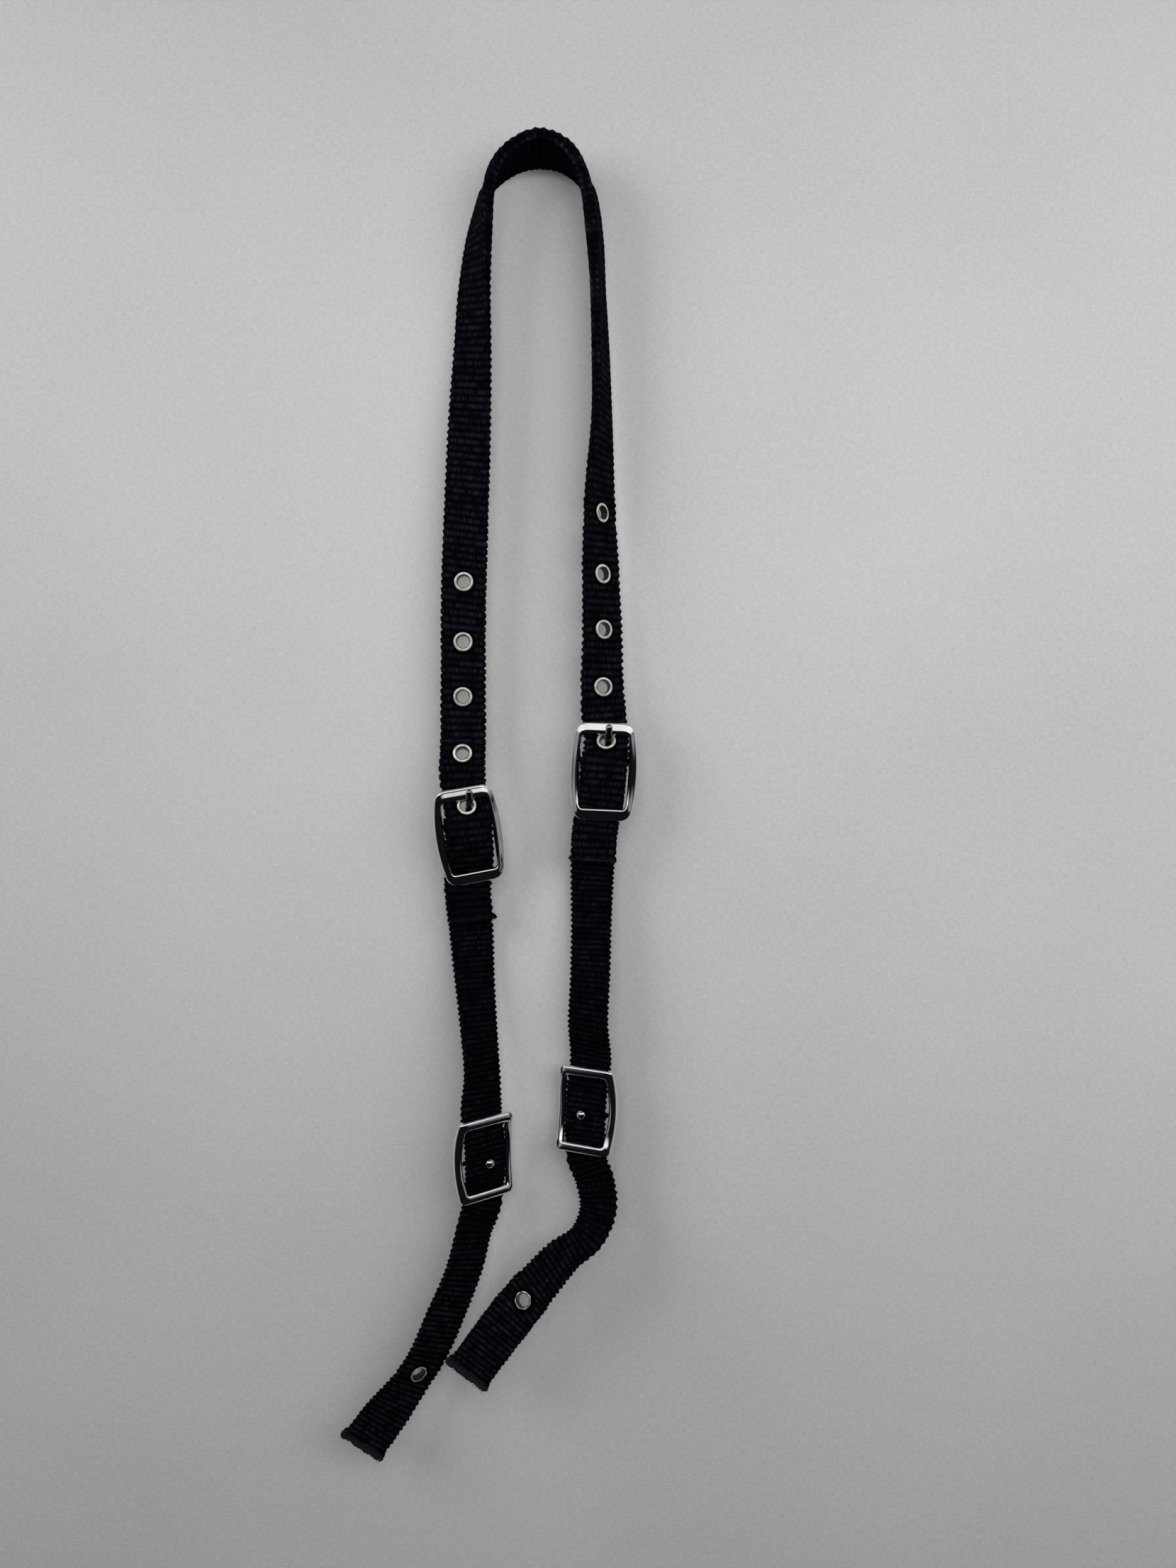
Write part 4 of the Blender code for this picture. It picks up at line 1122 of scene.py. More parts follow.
    def polygons(self, index):
        """Quads between the rows, walls through the holes and a cap on each end."""
        after = np.roll(index, -1, axis=1)
        quads = np.stack([index[:-1], after[:-1], after[1:], index[1:]], axis=2)
        back_first = self.columns + SELVEDGE_ROWS
        keep = np.ones(quads.shape[:2], bool)
        keep[:, :self.columns - 1] = ~self.cell_gone
        keep[:, back_first:back_first + self.columns - 1] = ~self.cell_gone[:, ::-1]
        front = index[:, :self.columns]
        back = index[:, back_first:back_first + self.columns][:, ::-1]
        polygons = quads[keep].tolist() + hole_walls(self.cell_gone, front, back)
        for end in (0, self.rows - 1):
            polygons += end_cap(front[end], back[end], index[end], self.columns)
        return polygons


def hole_walls(cell_gone, front, back):
    """Quads through the strap along every edge between a kept cell and a removed one."""
    walls = []
    rows, columns = cell_gone.shape
    for i, j in np.argwhere(cell_gone):
        for di, dj, first, second in ((-1, 0, (0, 0), (0, 1)), (1, 0, (1, 1), (1, 0)),
                                      (0, -1, (1, 0), (0, 0)), (0, 1, (0, 1), (1, 1))):
            ni, nj = i + di, j + dj
            if 0 <= ni < rows and 0 <= nj < columns and not cell_gone[ni, nj]:
                a = (i + first[0], j + first[1])
                b = (i + second[0], j + second[1])
                walls.append([int(front[a]), int(front[b]), int(back[b]), int(back[a])])
    return walls


def end_cap(front, back, ring, columns):
    """Closes a cut end: quads between the faces, and a fan over each selvedge."""
    cap = [[int(front[j]), int(front[j + 1]), int(back[j + 1]), int(back[j])] for j in range(columns - 1)]
    right = [int(v) for v in ring[columns - 1:columns + SELVEDGE_ROWS + 1]]
    left = [int(v) for v in ring[columns * 2 + SELVEDGE_ROWS - 1:]] + [int(ring[0])]
    return cap + [right, left]


def flipped(part):
    return tuple(values[:, ::-1] for values in part)


def store(solid, name, values):
    """Keeps one number a point, or one vector a point, where the shader finds it by name."""
    layers = solid.verts.layers
    layer = layers.float_vector.new(name) if values.ndim == 3 else layers.float.new(name)
    flat = values.reshape(-1, 3) if values.ndim == 3 else values.ravel()
    for vertex, value in zip(solid.verts, flat.tolist()):
        vertex[layer] = value


def add_webbing(name, route, flats, holes, ends, plump, shade, pitch, skew, material):
    """Lays a fine ribbed weave along a route: crests are yarn floats, staggered from rib to rib."""
    weave = Weave(name, route, holes, ends, plump, shade, pitch, skew)
    front = weave.face(1)
    back = weave.face(-1)
    right = weave.selvedge(1)
    left = weave.selvedge(-1)
    around = (front, right, flipped(back), flipped(left))
    across, along, out, lift, tint_and_shade = (np.concatenate([part[k] for part in around], axis=1) for k in range(5))
    distances = np.clip(along.ravel(), 0.0, route.length)
    points, acrosses, outs = route.track(distances, flats)
    points = points + acrosses * across.reshape(-1, 1) + outs * out.reshape(-1, 1)
    # A cut that would run past the strap's end turns back into it
    points = points - np.cross(acrosses, outs) * (along.ravel() - distances)[:, None]

    grid = across.shape
    mesh = bpy.data.meshes.new(name)
    mesh.from_pydata(points.tolist(), [], weave.polygons(np.arange(across.size).reshape(grid)))
    solid = bmesh.new()
    solid.from_mesh(mesh)
    store(solid, "yarn", lift)
    # Each float's random lightness times the painted light and shade by height
    store(solid, "tint_and_shade", tint_and_shade)
    # The sealed ends' greyer colour is dimmed by the painted shade by height
    store(solid, "sealed", np.broadcast_to(weave.sealed[:, :1] * np.clip(weave.light, 0.0, 1.0), grid))
    behind = np.broadcast_to(np.arange(grid[1]) > weave.columns, grid)
    store(solid, "strap", np.stack([across, along, behind * BACK_PATTERN_SHIFT], axis=2))
    loose = [vertex for vertex in solid.verts if not vertex.link_faces]
    bmesh.ops.delete(solid, geom=loose, context="VERTS")
    bmesh.ops.recalc_face_normals(solid, faces=solid.faces)
    solid.to_mesh(mesh)
    solid.free()
    mesh.shade_smooth()
    strap = link(name, mesh, material)
    return strap


def crown_holes(route):
    """Five eyelet holes on each side."""
    holes = []
    for side in SIDES:
        for distance in crown_eyelet_distances(route, side):
            holes.append(RoundHole(distance, HOLE_RADIUS, EYELET_FRONT_FLANGE / 2))
    return holes


def cheek_holes(route, side):
    """The tongue's slot round the fold, the stud's hole and the bit tab's eyelet hole."""
    buckle = buckle_pose(TONGUE_BUCKLES[side]).inverted()
    looped = [distance for point, distance in zip(route.points, route.lengths)
              if (buckle @ point).y > TONGUE_SLOT_END and distance < route.length / 2]
    stud = buckle_pose(STUD_BUCKLES[side]) @ Vector((0.0, -STUD_BAR_DROP, 0.0))
    eyelet_at = route.lengths[route.sample_at(route.length - TAB_EYELET_FROM_END)]
    return [
        Slot(looped[0], looped[-1], -drift_at(side, CENTRE_BAR_HEIGHT), TONGUE_SLOT_WIDTH),
        RoundHole(route.distance_near(stud), STUD_NECK_DIAMETER / 2 + STUD_HOLE_CLEARANCE, STUD_PRESSED),
        RoundHole(eyelet_at, HOLE_RADIUS, EYELET_FRONT_FLANGE / 2),
    ]


# Frayed ends

FRAY_SEEDS = {"crown_left": 3, "crown_right": 11, "cheek_left": 5, "cheek_right": 9}
CROWN_HAIRS = 16
CHEEK_HAIRS = 22
HAIR_LENGTH = (0.0007, 0.0021)
HAIR_RADIUS = (0.00007, 0.00019)
HAIR_SPREAD = 0.0012
HAIR_STEPS = 4
HAIR_SIDES = 5


def add_fray(name, route, at_start, seed, count, material):
    """Short stiff hairs that stand out of a sealed end, most of them at its corners."""
    random = np.random.RandomState(seed)
    solid = bmesh.new()
    outward = -1.0 if at_start else 1.0
    for k in range(count):
        corner = random.choice((-1.0, 1.0))
        share = corner * (1.0 - abs(random.normal(0.0, 0.16)) * (1 if k % 3 else 4))
        back = abs(random.normal(0.0, HAIR_SPREAD)) if k % 3 else 0.0002
        pose = route.place(route.sample_at(back if at_start else route.length - back))
        depth = random.uniform(-0.5, 0.5) * HAIR_SPREAD
        root = Vector((np.clip(share, -1.0, 1.0) * WEBBING_WIDTH / 2, 0.0, depth))
        lean = Vector((corner * random.uniform(0.1, 1.0), outward * random.uniform(0.2, 1.0),
                       random.uniform(-0.4, 0.6))).normalized()
        length = random.uniform(*HAIR_LENGTH)
        radius = random.uniform(*HAIR_RADIUS)
        bend = Vector(random.uniform(-0.4, 0.4, 3)) * length
        turn = lean.to_track_quat("Z", "Y").to_matrix().to_4x4()
        rings = []
        for step in range(HAIR_STEPS + 1):
            share = step / HAIR_STEPS
            centre = root + lean * length * (share - 0.25) + bend * share * share
            wide = radius * (1 - 0.85 * share)
            ring = oval(HAIR_SIDES, wide, wide)
            rings.append([pose @ (centre + turn @ Vector((x, y, 0.0))) for x, y in ring])
        add_rings(solid, rings)
    for layer_name in ("yarn", "tint_and_shade", "sealed"):
        store(solid, layer_name, np.full(len(solid.verts), 0.5))
    fray = add_object(name, solid, material)
    return fray


# Eyelets

EYELET_SEGMENTS = 60
CRIMP_PETALS = 7
ROLL_STEPS = 9
CRIMP_STEPS = 6
EYELET_THROAT = 0.0006
EYELET_FILLET = 0.0002
# Inside this radius, and fading over this far, the bore is painted dark as shade
BORE_SHADE_RADIUS = 0.0033
BORE_SHADE_FADE = 0.0003
PETAL_PULL = 0.00030
PETAL_UNEVENNESS = 0.00018


def eyelet_profile():
    """Radius, height and share of crimping round the eyelet's axis, front flange up."""
    bore = EYELET_BORE / 2
    barrel = bore + EYELET_WALL
    front = EYELET_FRONT_FLANGE / 2
    back = EYELET_BACK_FLANGE / 2
    seat = HALF_WEBBING + EYELET_SEAT_GAP
    rise = EYELET_FLANGE_THICKNESS
    profile = [(bore, seat - EYELET_THROAT, 0.0), (bore, seat + rise * 0.30, 0.0)]
    middle = (bore + front) / 2
    half = (front - bore) / 2
    for k in range(1, ROLL_STEPS + 1):
        angle = math.pi * k / ROLL_STEPS
        profile.append((middle - half * math.cos(angle), seat + rise * (0.30 + 0.85 * math.sin(angle)), 0.0))
    profile += [
        (front, seat, 0.0),
        (barrel + EYELET_FILLET, seat, 0.0),
        (barrel, seat - EYELET_FILLET, 0.0),
        (barrel, -seat + EYELET_FILLET / 2, 0.0),
        (barrel + EYELET_FILLET, -seat, 0.0),
        (back - EYELET_FILLET, -seat, 1.0),
    ]
    middle = (bore + back) / 2
    half = (back - bore) / 2
    for k in range(1, CRIMP_STEPS + 1):
        angle = math.pi * (0.10 + 0.80 * k / CRIMP_STEPS)
        crimp = math.cos(angle)
        profile.append((middle + half * crimp, -seat - rise * 0.95 * math.sin(angle), crimp))
    return profile + [(bore, -seat - rise * 0.15, 0.0), (bore, -seat + EYELET_THROAT, 0.0)]


def add_eyelet(name, place, turn, material):
    """Turns the eyelet and splits its crimped flange into uneven petals."""
    solid = bmesh.new()
    profile = eyelet_profile()
    rings = []
    for i in range(EYELET_SEGMENTS):
        angle = math.tau * i / EYELET_SEGMENTS
        petal = abs(math.cos(CRIMP_PETALS / 2 * angle + turn)) ** 0.6
        uneven = 0.5 + 0.5 * math.sin(3 * angle + turn * 5)
        ring = []
        for radius, height, crimp in profile:
            wide = radius - max(crimp, 0.0) * (1 - petal) * (PETAL_PULL + PETAL_UNEVENNESS * uneven)
            flat = 1.0 - 0.28 * abs(crimp) * (1 - petal)
            ring.append(place @ Vector((wide * math.cos(angle), wide * math.sin(angle), height * flat)))
        rings.append(ring)
    add_rings(solid, rings, closed=True)
    # How far each ring of the profile is painted dark as shade inside the bore
    painted_bore_shade = [min(max((BORE_SHADE_RADIUS - radius) / BORE_SHADE_FADE, 0.0), 1.0) for radius, height, crimp in profile]
    store(solid, "bore", np.tile(painted_bore_shade, EYELET_SEGMENTS))
    eyelet = add_object(name, solid, material)
    return eyelet


# Cast buckle frames

FRAME_POINTS_PER_SIDE = 26
FRAME_POINTS_PER_CORNER = 12
SECTION_STEPS = 4
BAR_SEGMENTS = 28
STUD_SEGMENTS = 40
STUD_RINGS = 18
RAIL_PLUMP = 0.0006
# A cross bar swells at each end into a lug, which is taller and a little thicker than the bar
LUG_TAPER = 0.0011
LUG_STEPS = 8
LUG_THICKENING = 0.18
# How far the bar is rooted in its rails, and where the swelling ends in the gap beside the strap, as shares
TONGUE_BAR_ROOT = 0.45
TONGUE_LUG_END = 0.4
STUD_BAR_ROOT = 0.5
STUD_LUG_END = 0.3


def rounded_outline(half_width, half_height, swell, corner):
    """Rectangle with swelling long sides and rounded corners, counter-clockwise."""
    per_side = FRAME_POINTS_PER_SIDE
    per_corner = FRAME_POINTS_PER_CORNER
    corners = [(half_width, -half_height), (half_width, half_height)]
    corners += [(-x, -y) for x, y in corners]
    outline = []
    for k in range(4):
        start = Vector(corners[k])
        end = Vector(corners[(k + 1) % 4])
        after = Vector(corners[(k + 2) % 4])
        along = (end - start).normalized()
        outward = Vector((along.y, -along.x))
        bulge = swell if k % 2 == 0 else 0.0
        length = (end - start).length
        for i in range(per_side + 1):
            share = corner / length + (1 - 2 * corner / length) * i / per_side
            outline.append(start + along * length * share + outward * bulge * 4 * share * (1 - share))
        tail = outline[-1]
        share = corner / (after - end).length
        turn = (after - end).normalized()
        next_bulge = 0.0 if k % 2 == 0 else swell
        head = end + turn * corner + Vector((turn.y, -turn.x)) * next_bulge * 4 * share * (1 - share)
        for i in range(1, per_corner):
            share = i / per_corner
            outline.append(tail * (1 - share) ** 2 + end * 2 * share * (1 - share) + head * share ** 2)
    return outline


def superellipse_point(turn, power):
    """A point of a squarish round: from the outer edge over the front to the inner edge and back."""
    ends = (math.cos(math.tau * turn), math.sin(math.tau * turn))
    aside, rise = (math.copysign(abs(end) ** (2 / power), end) for end in ends)
    return (1 - aside) / 2, rise


# Bar sections: (share of the way from the outer edge to the inner one, height over half the depth)
BEVELLED_BAR = (
    (0.0, -0.30), (0.03, 0.0), (0.08, 0.20), (0.15, 0.34), (0.24, 0.45), (0.42, 0.71),
    (0.58, 0.93), (0.68, 0.99), (0.82, 0.99), (0.93, 0.74), (0.99, 0.25), (1.0, -0.10),
    (0.92, -0.60), (0.70, -0.95), (0.28, -0.96), (0.06, -0.62),
)
ROUND_BAR = tuple(superellipse_point(k / 16, 2.5) for k in range(16))


def smooth_section(shape):
    """A cast bar's section as a closed smooth curve."""
    knots = [Vector(point) for point in shape]
    count = len(knots)
    section = []
    for i in range(count):
        before, near, far, after = (knots[(i + k) % count] for k in (-1, 0, 1, 2))
        for k in range(SECTION_STEPS):
            t = k / SECTION_STEPS
            section.append(
                near + (far - before) * 0.5 * t
                + (before * 2 - near * 5 + far * 4 - after) * 0.5 * t * t
                + (near * 3 - far * 3 + after - before) * 0.5 * t ** 3)
    return section


def add_frame(name, pose, shape, outer, inner, half_depth, dip, inner_height, material):
    """Skins a ring of bar sections; the rails bow back between the end bars."""
    solid = bmesh.new()
    section = smooth_section(shape)
    rings = []
    for near, far in zip(inner, outer):
        height = min(abs(near.y) / inner_height, 1.0)
        back = dip * (1 - height ** 2)
        ring = []
        for share, rise in section:
            point = far.lerp(near, share)
            ring.append(pose @ Vector((point.x, point.y, half_depth * rise - back)))
        rings.append(ring)
    add_rings(solid, rings, closed=True)
    return add_object(name, solid, material)


def cross_bar(pose, reach, clear, height, setback, bar, lug, material):
    """Round bar between the rails that swells into a lug at each end."""
    solid = bmesh.new()
    stations = [(-reach, lug)]
    for k in range(LUG_STEPS + 1):
        share = k / LUG_STEPS
        stations.append((-clear - LUG_TAPER * (1 - share), lug + (bar - lug) * ease(share)))
    stations += [(-x, tall) for x, tall in reversed(stations)]
    rings = []
    for x, tall in stations:
        ring = oval(BAR_SEGMENTS, bar / 2 + (tall - bar) * LUG_THICKENING, tall / 2)
        rings.append([pose @ Vector((x, height + rise, depth - setback)) for depth, rise in ring])
    add_rings(solid, rings)
    return add_object("cross_bar", solid, material)


def add_tongue_buckle(side, material):
    pose = buckle_pose(TONGUE_BUCKLES[side])
    inner_width = WEBBING_WIDTH / 2 + SIDE_CLEARANCE
    inner_height = TONGUE_BUCKLE_HEIGHT / 2 - TONGUE_BUCKLE_BAR
    outer_width = inner_width + TONGUE_BUCKLE_END_RAIL
    outer_swell = TONGUE_BUCKLE_SWELL + TONGUE_BUCKLE_RAIL - TONGUE_BUCKLE_END_RAIL
    outer = rounded_outline(outer_width, TONGUE_BUCKLE_HEIGHT / 2, outer_swell, TONGUE_BUCKLE_CORNER)
    inner = rounded_outline(inner_width - RAIL_PLUMP, inner_height, TONGUE_BUCKLE_SWELL,
                            TONGUE_BUCKLE_CORNER / 3)
    buckle = add_frame("tongue_buckle_" + side, pose, BEVELLED_BAR, outer, inner, TONGUE_BUCKLE_DEPTH / 2,
                       TONGUE_BUCKLE_RAIL_DIP, inner_height, material)
    reach = inner_width + TONGUE_BUCKLE_SWELL + TONGUE_BUCKLE_RAIL * TONGUE_BAR_ROOT
    clear = WEBBING_WIDTH / 2 + SIDE_CLEARANCE * TONGUE_LUG_END
    unite(buckle, cross_bar(pose, reach, clear, CENTRE_BAR_HEIGHT, CENTRE_BAR_SETBACK, CENTRE_BAR_DIAMETER,
                            CENTRE_BAR_LUG, material))
    return buckle


def stud_profile():
    """Radius and height of the neck and ball, from the bar's middle."""
    neck = STUD_NECK_DIAMETER / 2
    ball = STUD_BALL_DIAMETER / 2
    face = STUD_BAR_DIAMETER / 2 + CONTACT_GAP + WEBBING_THICKNESS
    drop = math.sqrt(ball ** 2 - neck ** 2)
    centre = face + CONTACT_GAP + drop
    start = math.acos(-drop / ball)
    points = [(neck, 0.0)]
    for i in range(STUD_RINGS):
        angle = start * (1 - i / STUD_RINGS)
        points.append((ball * math.sin(angle), centre + ball * math.cos(angle)))
    return points


def add_stud_buckle(side, material):
    pose = buckle_pose(STUD_BUCKLES[side])
    inner_width = WEBBING_WIDTH / 2 + STUD_SIDE_CLEARANCE
    inner_height = STUD_BUCKLE_HEIGHT / 2 - STUD_BUCKLE_BAR
    outer_width = inner_width + STUD_BUCKLE_RAIL - STUD_BUCKLE_SWELL
    outer = rounded_outline(outer_width, STUD_BUCKLE_HEIGHT / 2, STUD_BUCKLE_SWELL * 2, STUD_BUCKLE_CORNER)
    inner = rounded_outline(inner_width - RAIL_PLUMP / 2, inner_height, STUD_BUCKLE_SWELL,
                            STUD_BUCKLE_CORNER / 2)
    buckle = add_frame("conway_buckle_" + side, pose, ROUND_BAR, outer, inner, STUD_BUCKLE_DEPTH / 2,
                       STUD_BUCKLE_RAIL_DIP, inner_height, material)
    setback = STUD_BUCKLE_RAIL_DIP + STUD_LIFT
    reach = inner_width + STUD_BUCKLE_SWELL + STUD_BUCKLE_RAIL * STUD_BAR_ROOT
    clear = WEBBING_WIDTH / 2 + STUD_SIDE_CLEARANCE * STUD_LUG_END
    bar = cross_bar(pose, reach, clear, -STUD_BAR_DROP, setback, STUD_BAR_DIAMETER, STUD_BUCKLE_BAR, material)
    solid = bmesh.new()
    foot = pose @ Matrix.Translation((0.0, -STUD_BAR_DROP, -setback))
    turned(solid, foot, stud_profile(), STUD_SEGMENTS)
    unite(buckle, bar, add_object("stud", solid, material))
    return buckle


# Tongues

TONGUE_SEGMENTS = 20
SAMPLES_PER_RING = 3
EYE_STEPS = 16
EYE_START = -220.0
EYE_STEP = 17.0


def tongue_path():
    """Side view, from the open end of the eye round the bar and up to the tip on the top bar."""
    half = TONGUE_THICKNESS / 2
    eye_radius = CENTRE_BAR_DIAMETER / 2 + TONGUE_BAR_CLEARANCE + half
    eye = [round_bar(eye_radius, EYE_START + EYE_STEP * k) for k in range(EYE_STEPS)]
    depth = eyelet_depth()
    rest = TONGUE_BUCKLE_DEPTH / 2 + CONTACT_GAP * 0.9 + half
    bar_edge = TOP_BAR_AT - TONGUE_BUCKLE_BAR / 2
    shank = [
        (EYELET_AT - 0.0050, depth - 0.0013),
        (EYELET_AT - 0.0031, depth - 0.0019),
        (EYELET_AT - 0.0012, depth - 0.0014),
        (EYELET_AT + 0.0002, depth + 0.0001),
        (EYELET_AT + 0.0012, depth + 0.0018),
        (bar_edge - 0.0007, rest - 0.0010),
        (bar_edge + 0.0009, rest),
        (TOP_BAR_AT + 0.0003, rest + 0.00005),
        (TOP_BAR_AT + TONGUE_OVERHANG, rest - 0.0001),
    ]
    return eye + shank


def add_tongue(side, material):
    """Sweeps an oval along the tongue's path; the far end is rounded off."""
    pose = buckle_pose(TONGUE_BUCKLES[side])
    root, tip = TONGUE_SHIFT[side]
    length = TOP_BAR_AT + TONGUE_OVERHANG - CENTRE_BAR_HEIGHT
    knots = []
    for height, depth in tongue_path():
        shift = root + (tip - root) * max(height - CENTRE_BAR_HEIGHT, 0.0) / length
        knots.append((Vector((shift, height, depth)), Vector((1.0, 0.0, 0.0))))
    route = Route(knots)
    solid = bmesh.new()
    rings = []
    for i in range(0, len(route.points), SAMPLES_PER_RING):
        left = (route.length - route.lengths[i]) / (TONGUE_WIDTH * 0.5)
        swell = math.sqrt(max(1 - (1 - min(left, 1.0)) ** 2, 0.02))
        place = pose @ route.place(i)
        ring = oval(TONGUE_SEGMENTS, TONGUE_WIDTH / 2 * swell, TONGUE_THICKNESS / 2 * swell, 0.5)
        rings.append([place @ Vector((x, 0.0, z)) for x, z in ring])
    add_rings(solid, rings)
    tongue = add_object("buckle_tongue_" + side, solid, material, 60.0)
    return tongue


# Operators

class HeadstallOperator:
    """What all the headstall's operators share."""
    bl_options = {"REGISTER", "UNDO"}

    @staticmethod
    def material(name, make):
        return bpy.data.materials.get(name) or make()


class HEADSTALL_OT_crown(HeadstallOperator, bpy.types.Operator):
    """Weave the crown strap from buckle to buckle"""
    bl_idname = "headstall.crown"
    bl_label = "Crown Strap"

    def execute(self, context):
        webbing = self.material("black_webbing", webbing_material)
        route = crown_route()
        holes = crown_holes(route)
        flats = [(hole.distance, EYELET_REACH) for hole in holes]
        pitch = context.scene.headstall_webbing.rib_pitch
        strap = add_webbing("crown_webbing", route, flats, holes, CROWN_ENDS, CROWN_PLUMP, CROWN_PAINTED_SHADE,
                            pitch, crown_skew, webbing)
        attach(strap, "crown")
        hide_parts("crown_strap")
        ends = [
            add_fray("crown_fray_left", route, True, FRAY_SEEDS["crown_left"], CROWN_HAIRS, webbing),
            add_fray("crown_fray_right", route, False, FRAY_SEEDS["crown_right"], CROWN_HAIRS, webbing),
        ]
        for end in ends:
            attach(end, "crown")
        return {"FINISHED"}


class HEADSTALL_OT_cheeks(HeadstallOperator, bpy.types.Operator):
    """Weave both cheek straps, from the fold in the tongue buckle to the bit tab"""
    bl_idname = "headstall.cheeks"
    bl_label = "Cheek Straps"

    def execute(self, context):
        webbing = self.material("black_webbing", webbing_material)
        pitch = context.scene.headstall_webbing.cheek_rib_pitch
        for side in SIDES:
            route = cheek_route(side)
            holes = cheek_holes(route, side)
            flats = [(holes[-1].distance, EYELET_REACH), (route.length - TAB_END_FLAT / 2, TAB_END_FLAT / 2)]
            strap = add_webbing("cheek_webbing_" + side, route, flats, holes, CHEEK_ENDS, CHEEK_PLUMP,
                                CHEEK_PAINTED_SHADE, pitch, no_skew, webbing)
            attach(strap, "cheek_" + side)
            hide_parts("cheek_strap_" + side)
            seed = FRAY_SEEDS["cheek_" + side]
            fray = add_fray("cheek_fray_" + side, route, False, seed, CHEEK_HAIRS, webbing)
            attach(fray, "cheek_" + side)
        return {"FINISHED"}


class HEADSTALL_OT_eyelets(HeadstallOperator, bpy.types.Operator):
    """Set the ten crown eyelets and the two tab eyelets"""
    bl_idname = "headstall.eyelets"
    bl_label = "Eyelets"

    def execute(self, context):
        nickel = self.material("nickel_plate", nickel_material)
        route = crown_route()
        for side in SIDES:
            for k, distance in enumerate(crown_eyelet_distances(route, side)):
                number = "{}_{}".format(side, k + 1)
                place = route.place(route.sample_at(distance))
                eyelet = add_eyelet("eyelet_ring_" + number, place, k * 1.3, nickel)
                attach(eyelet, "crown")
                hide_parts("eyelet_" + number)
            tab = cheek_route(side)
            place = tab.place(tab.sample_at(tab.length - TAB_EYELET_FROM_END))
            eyelet = add_eyelet("tab_ring_" + side, place @ Matrix.Rotation(math.pi, 4, "Y"), 0.4, nickel)
            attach(eyelet, "cheek_" + side)
            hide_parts("tab_eyelet_" + side)
        return {"FINISHED"}


class HEADSTALL_OT_tongue_buckles(HeadstallOperator, bpy.types.Operator):
    """Cast both tongue buckles with their centre bars"""
    bl_idname = "headstall.tongue_buckles"
    bl_label = "Tongue Buckles"

    def execute(self, context):
        chrome = self.material("bright_chrome", chrome_material)
        for side in SIDES:
            buckle = add_tongue_buckle(side, chrome)
            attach(buckle, "crown")
            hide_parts("buckle_frame_" + side)
        return {"FINISHED"}


class HEADSTALL_OT_tongues(HeadstallOperator, bpy.types.Operator):
    """Curl a tongue round each centre bar"""
    bl_idname = "headstall.tongues"
    bl_label = "Tongues"

    def execute(self, context):
        steel = self.material("tongue_steel", tongue_material)
        for side in SIDES:
            tongue = add_tongue(side, steel)
            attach(tongue, "tongue_" + side)
            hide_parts("tongue_" + side)
        return {"FINISHED"}


class HEADSTALL_OT_stud_buckles(HeadstallOperator, bpy.types.Operator):
    """Cast both stud buckles with their bars and ball studs"""
    bl_idname = "headstall.stud_buckles"
    bl_label = "Stud Buckles"

    def execute(self, context):
        chrome = self.material("bright_chrome", chrome_material)
        for side in SIDES:
            buckle = add_stud_buckle(side, chrome)
            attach(buckle, "cheek_" + side)
            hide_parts("stud_buckle_" + side)
        return {"FINISHED"}


# Stage

SWEEP_WIDTH = 2.6
SWEEP_TOP = 0.9
FLOOR_HEIGHT = -0.86
FLOOR_DEPTH = 1.3
SWEEP_RADIUS = 0.16
SWEEP_STEPS = 12
ROOM_RADIUS = 1.25
# How far up, down and aside the room reaches, in degrees
ROOM_RISE = 88.0
ROOM_TURN = 82.0
ROOM_ROWS = 31
ROOM_COLUMNS = 25
LAMP_TARGET = (0.0, 0.0, -0.27)
# Each lamp: its place, what it points at, and its width and height
WINDOW_LAMP = ((0.45, -0.60, -0.10), (0.45, 0.0, -0.10), (1.2, 0.5))
LEFT_LAMP = ((-0.70, -0.50, 0.05), LAMP_TARGET, (0.50, 0.50))


def add_sweep(wall_at):
    """A wall of cloth that curves forward into a floor."""
    profile = [(wall_at, SWEEP_TOP), (wall_at, FLOOR_HEIGHT + SWEEP_RADIUS)]
    for k in range(1, SWEEP_STEPS + 1):
        angle = math.pi / 2 * k / SWEEP_STEPS
        forward = SWEEP_RADIUS * (1 - math.cos(angle))
        profile.append((wall_at - forward, FLOOR_HEIGHT + SWEEP_RADIUS * (1 - math.sin(angle))))
    profile.append((wall_at - FLOOR_DEPTH, FLOOR_HEIGHT))
    edges = [[(x, y, z) for y, z in profile] for x in (-SWEEP_WIDTH / 2, SWEEP_WIDTH / 2)]
    add_sheet("backdrop", edges, backdrop_material())


def add_dim_room():
    """The studio in front of the strap, which only bright metal shows: a bowl round the camera."""
    rows = []
    for rise in np.radians(np.linspace(-ROOM_RISE, ROOM_RISE, ROOM_ROWS)):
        away = ROOM_RADIUS * math.cos(rise)
        height = LAMP_TARGET[2] + ROOM_RADIUS * math.sin(rise)
        turns = np.radians(np.linspace(-ROOM_TURN, ROOM_TURN, ROOM_COLUMNS))
        rows.append([(away * math.sin(turn), -away * math.cos(turn), height) for turn in turns])
    room = add_sheet("dim_room", rows, room_material())
    room.visible_camera = False
    room.visible_diffuse = False
    room.visible_shadow = False
    room.visible_transmission = False


def add_lamp(name, place, target, size, power):
    data = bpy.data.lights.new(name, "AREA")
    data.shape = "RECTANGLE"
    data.size, data.size_y = size
    data.energy = power
    lamp = bpy.data.objects.new(name, data)
    bpy.context.scene.collection.objects.link(lamp)
    lamp.location = place
    lamp.visible_glossy = False
    lamp.rotation_euler = (Vector(target) - Vector(place)).to_track_quat("-Z", "Y").to_euler()


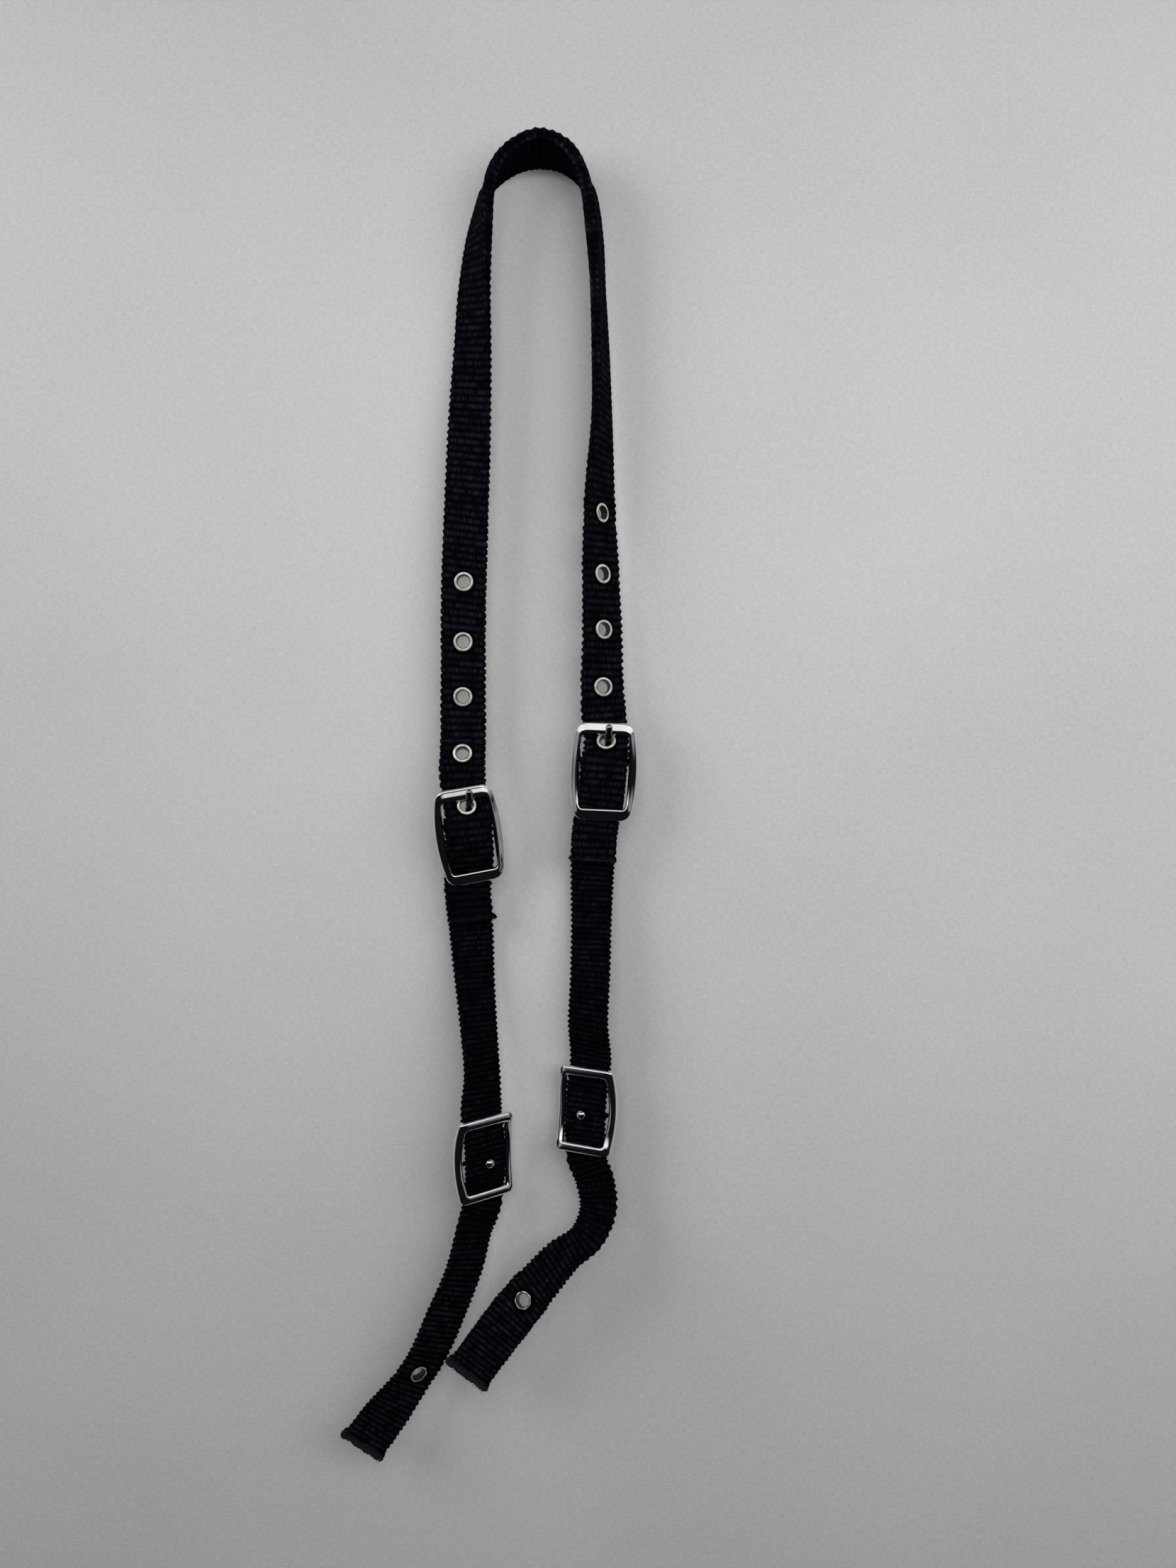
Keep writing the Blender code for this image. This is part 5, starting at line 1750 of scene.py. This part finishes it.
def add_camera():
    data = bpy.data.cameras.new("photo_camera")
    data.sensor_fit = "AUTO"
    data.sensor_width = SENSOR
    data.lens = SENSOR * FOCAL_PIXELS / max(IMAGE_WIDTH, IMAGE_HEIGHT)
    data.clip_start = 0.01
    camera = bpy.data.objects.new("photo_camera", data)
    bpy.context.scene.collection.objects.link(camera)
    camera.location = CAMERA_PLACE
    camera.rotation_euler = (math.pi / 2, 0.0, 0.0)
    bpy.context.scene.camera = camera


class HEADSTALL_OT_stage(HeadstallOperator, bpy.types.Operator):
    """Set up the cloth backdrop, the lamps and the camera"""
    bl_idname = "headstall.stage"
    bl_label = "Stage"

    def execute(self, context):
        scene = context.scene
        look = scene.headstall_stage
        add_camera()
        add_sweep(SOLID_BOX[1].y + look.wall_gap)
        add_dim_room()
        add_lamp("window", *WINDOW_LAMP, look.window_power)
        add_lamp("left_lamp", *LEFT_LAMP, look.left_power)
        world = bpy.data.worlds.new("room_light")
        world.use_nodes = True
        shade = world.node_tree.nodes["Background"]
        shade.inputs["Color"].default_value = (0.98, 0.99, 1.0, 1.0)
        shade.inputs["Strength"].default_value = look.ambient
        scene.world = world
        scene.view_settings.view_transform = "Standard"
        return {"FINISHED"}


class VIEW3D_PT_headstall(bpy.types.Panel):
    """Sizes, colours and builders of the headstall"""
    bl_label = "Headstall"
    bl_space_type = "VIEW_3D"
    bl_region_type = "UI"
    bl_category = "Headstall"

    def draw(self, context):
        for group in SETTINGS:
            box = self.layout.box()
            for name in SETTINGS[group].__annotations__:
                box.prop(getattr(context.scene, group), name)
        for operator in OPERATORS:
            self.layout.operator(operator.bl_idname)


SETTINGS = {
    "headstall_webbing": HeadstallWebbing,
    "headstall_plating": HeadstallPlating,
    "headstall_stage": HeadstallStage,
}
OPERATORS = (
    HEADSTALL_OT_stage,
    HEADSTALL_OT_crown,
    HEADSTALL_OT_cheeks,
    HEADSTALL_OT_eyelets,
    HEADSTALL_OT_tongue_buckles,
    HEADSTALL_OT_tongues,
    HEADSTALL_OT_stud_buckles,
)


def register():
    for kind in (*SETTINGS.values(), *OPERATORS, VIEW3D_PT_headstall):
        bpy.utils.register_class(kind)
    for name, kind in SETTINGS.items():
        setattr(bpy.types.Scene, name, PointerProperty(type=kind))


def unregister():
    for name in SETTINGS:
        delattr(bpy.types.Scene, name)
    for kind in reversed((*SETTINGS.values(), *OPERATORS, VIEW3D_PT_headstall)):
        bpy.utils.unregister_class(kind)


def main():
    register()
    bpy.ops.headstall.stage()
    bpy.ops.headstall.crown()
    bpy.ops.headstall.cheeks()
    bpy.ops.headstall.eyelets()
    bpy.ops.headstall.tongue_buckles()
    bpy.ops.headstall.tongues()
    bpy.ops.headstall.stud_buckles()


if __name__ == "__main__":
    main()
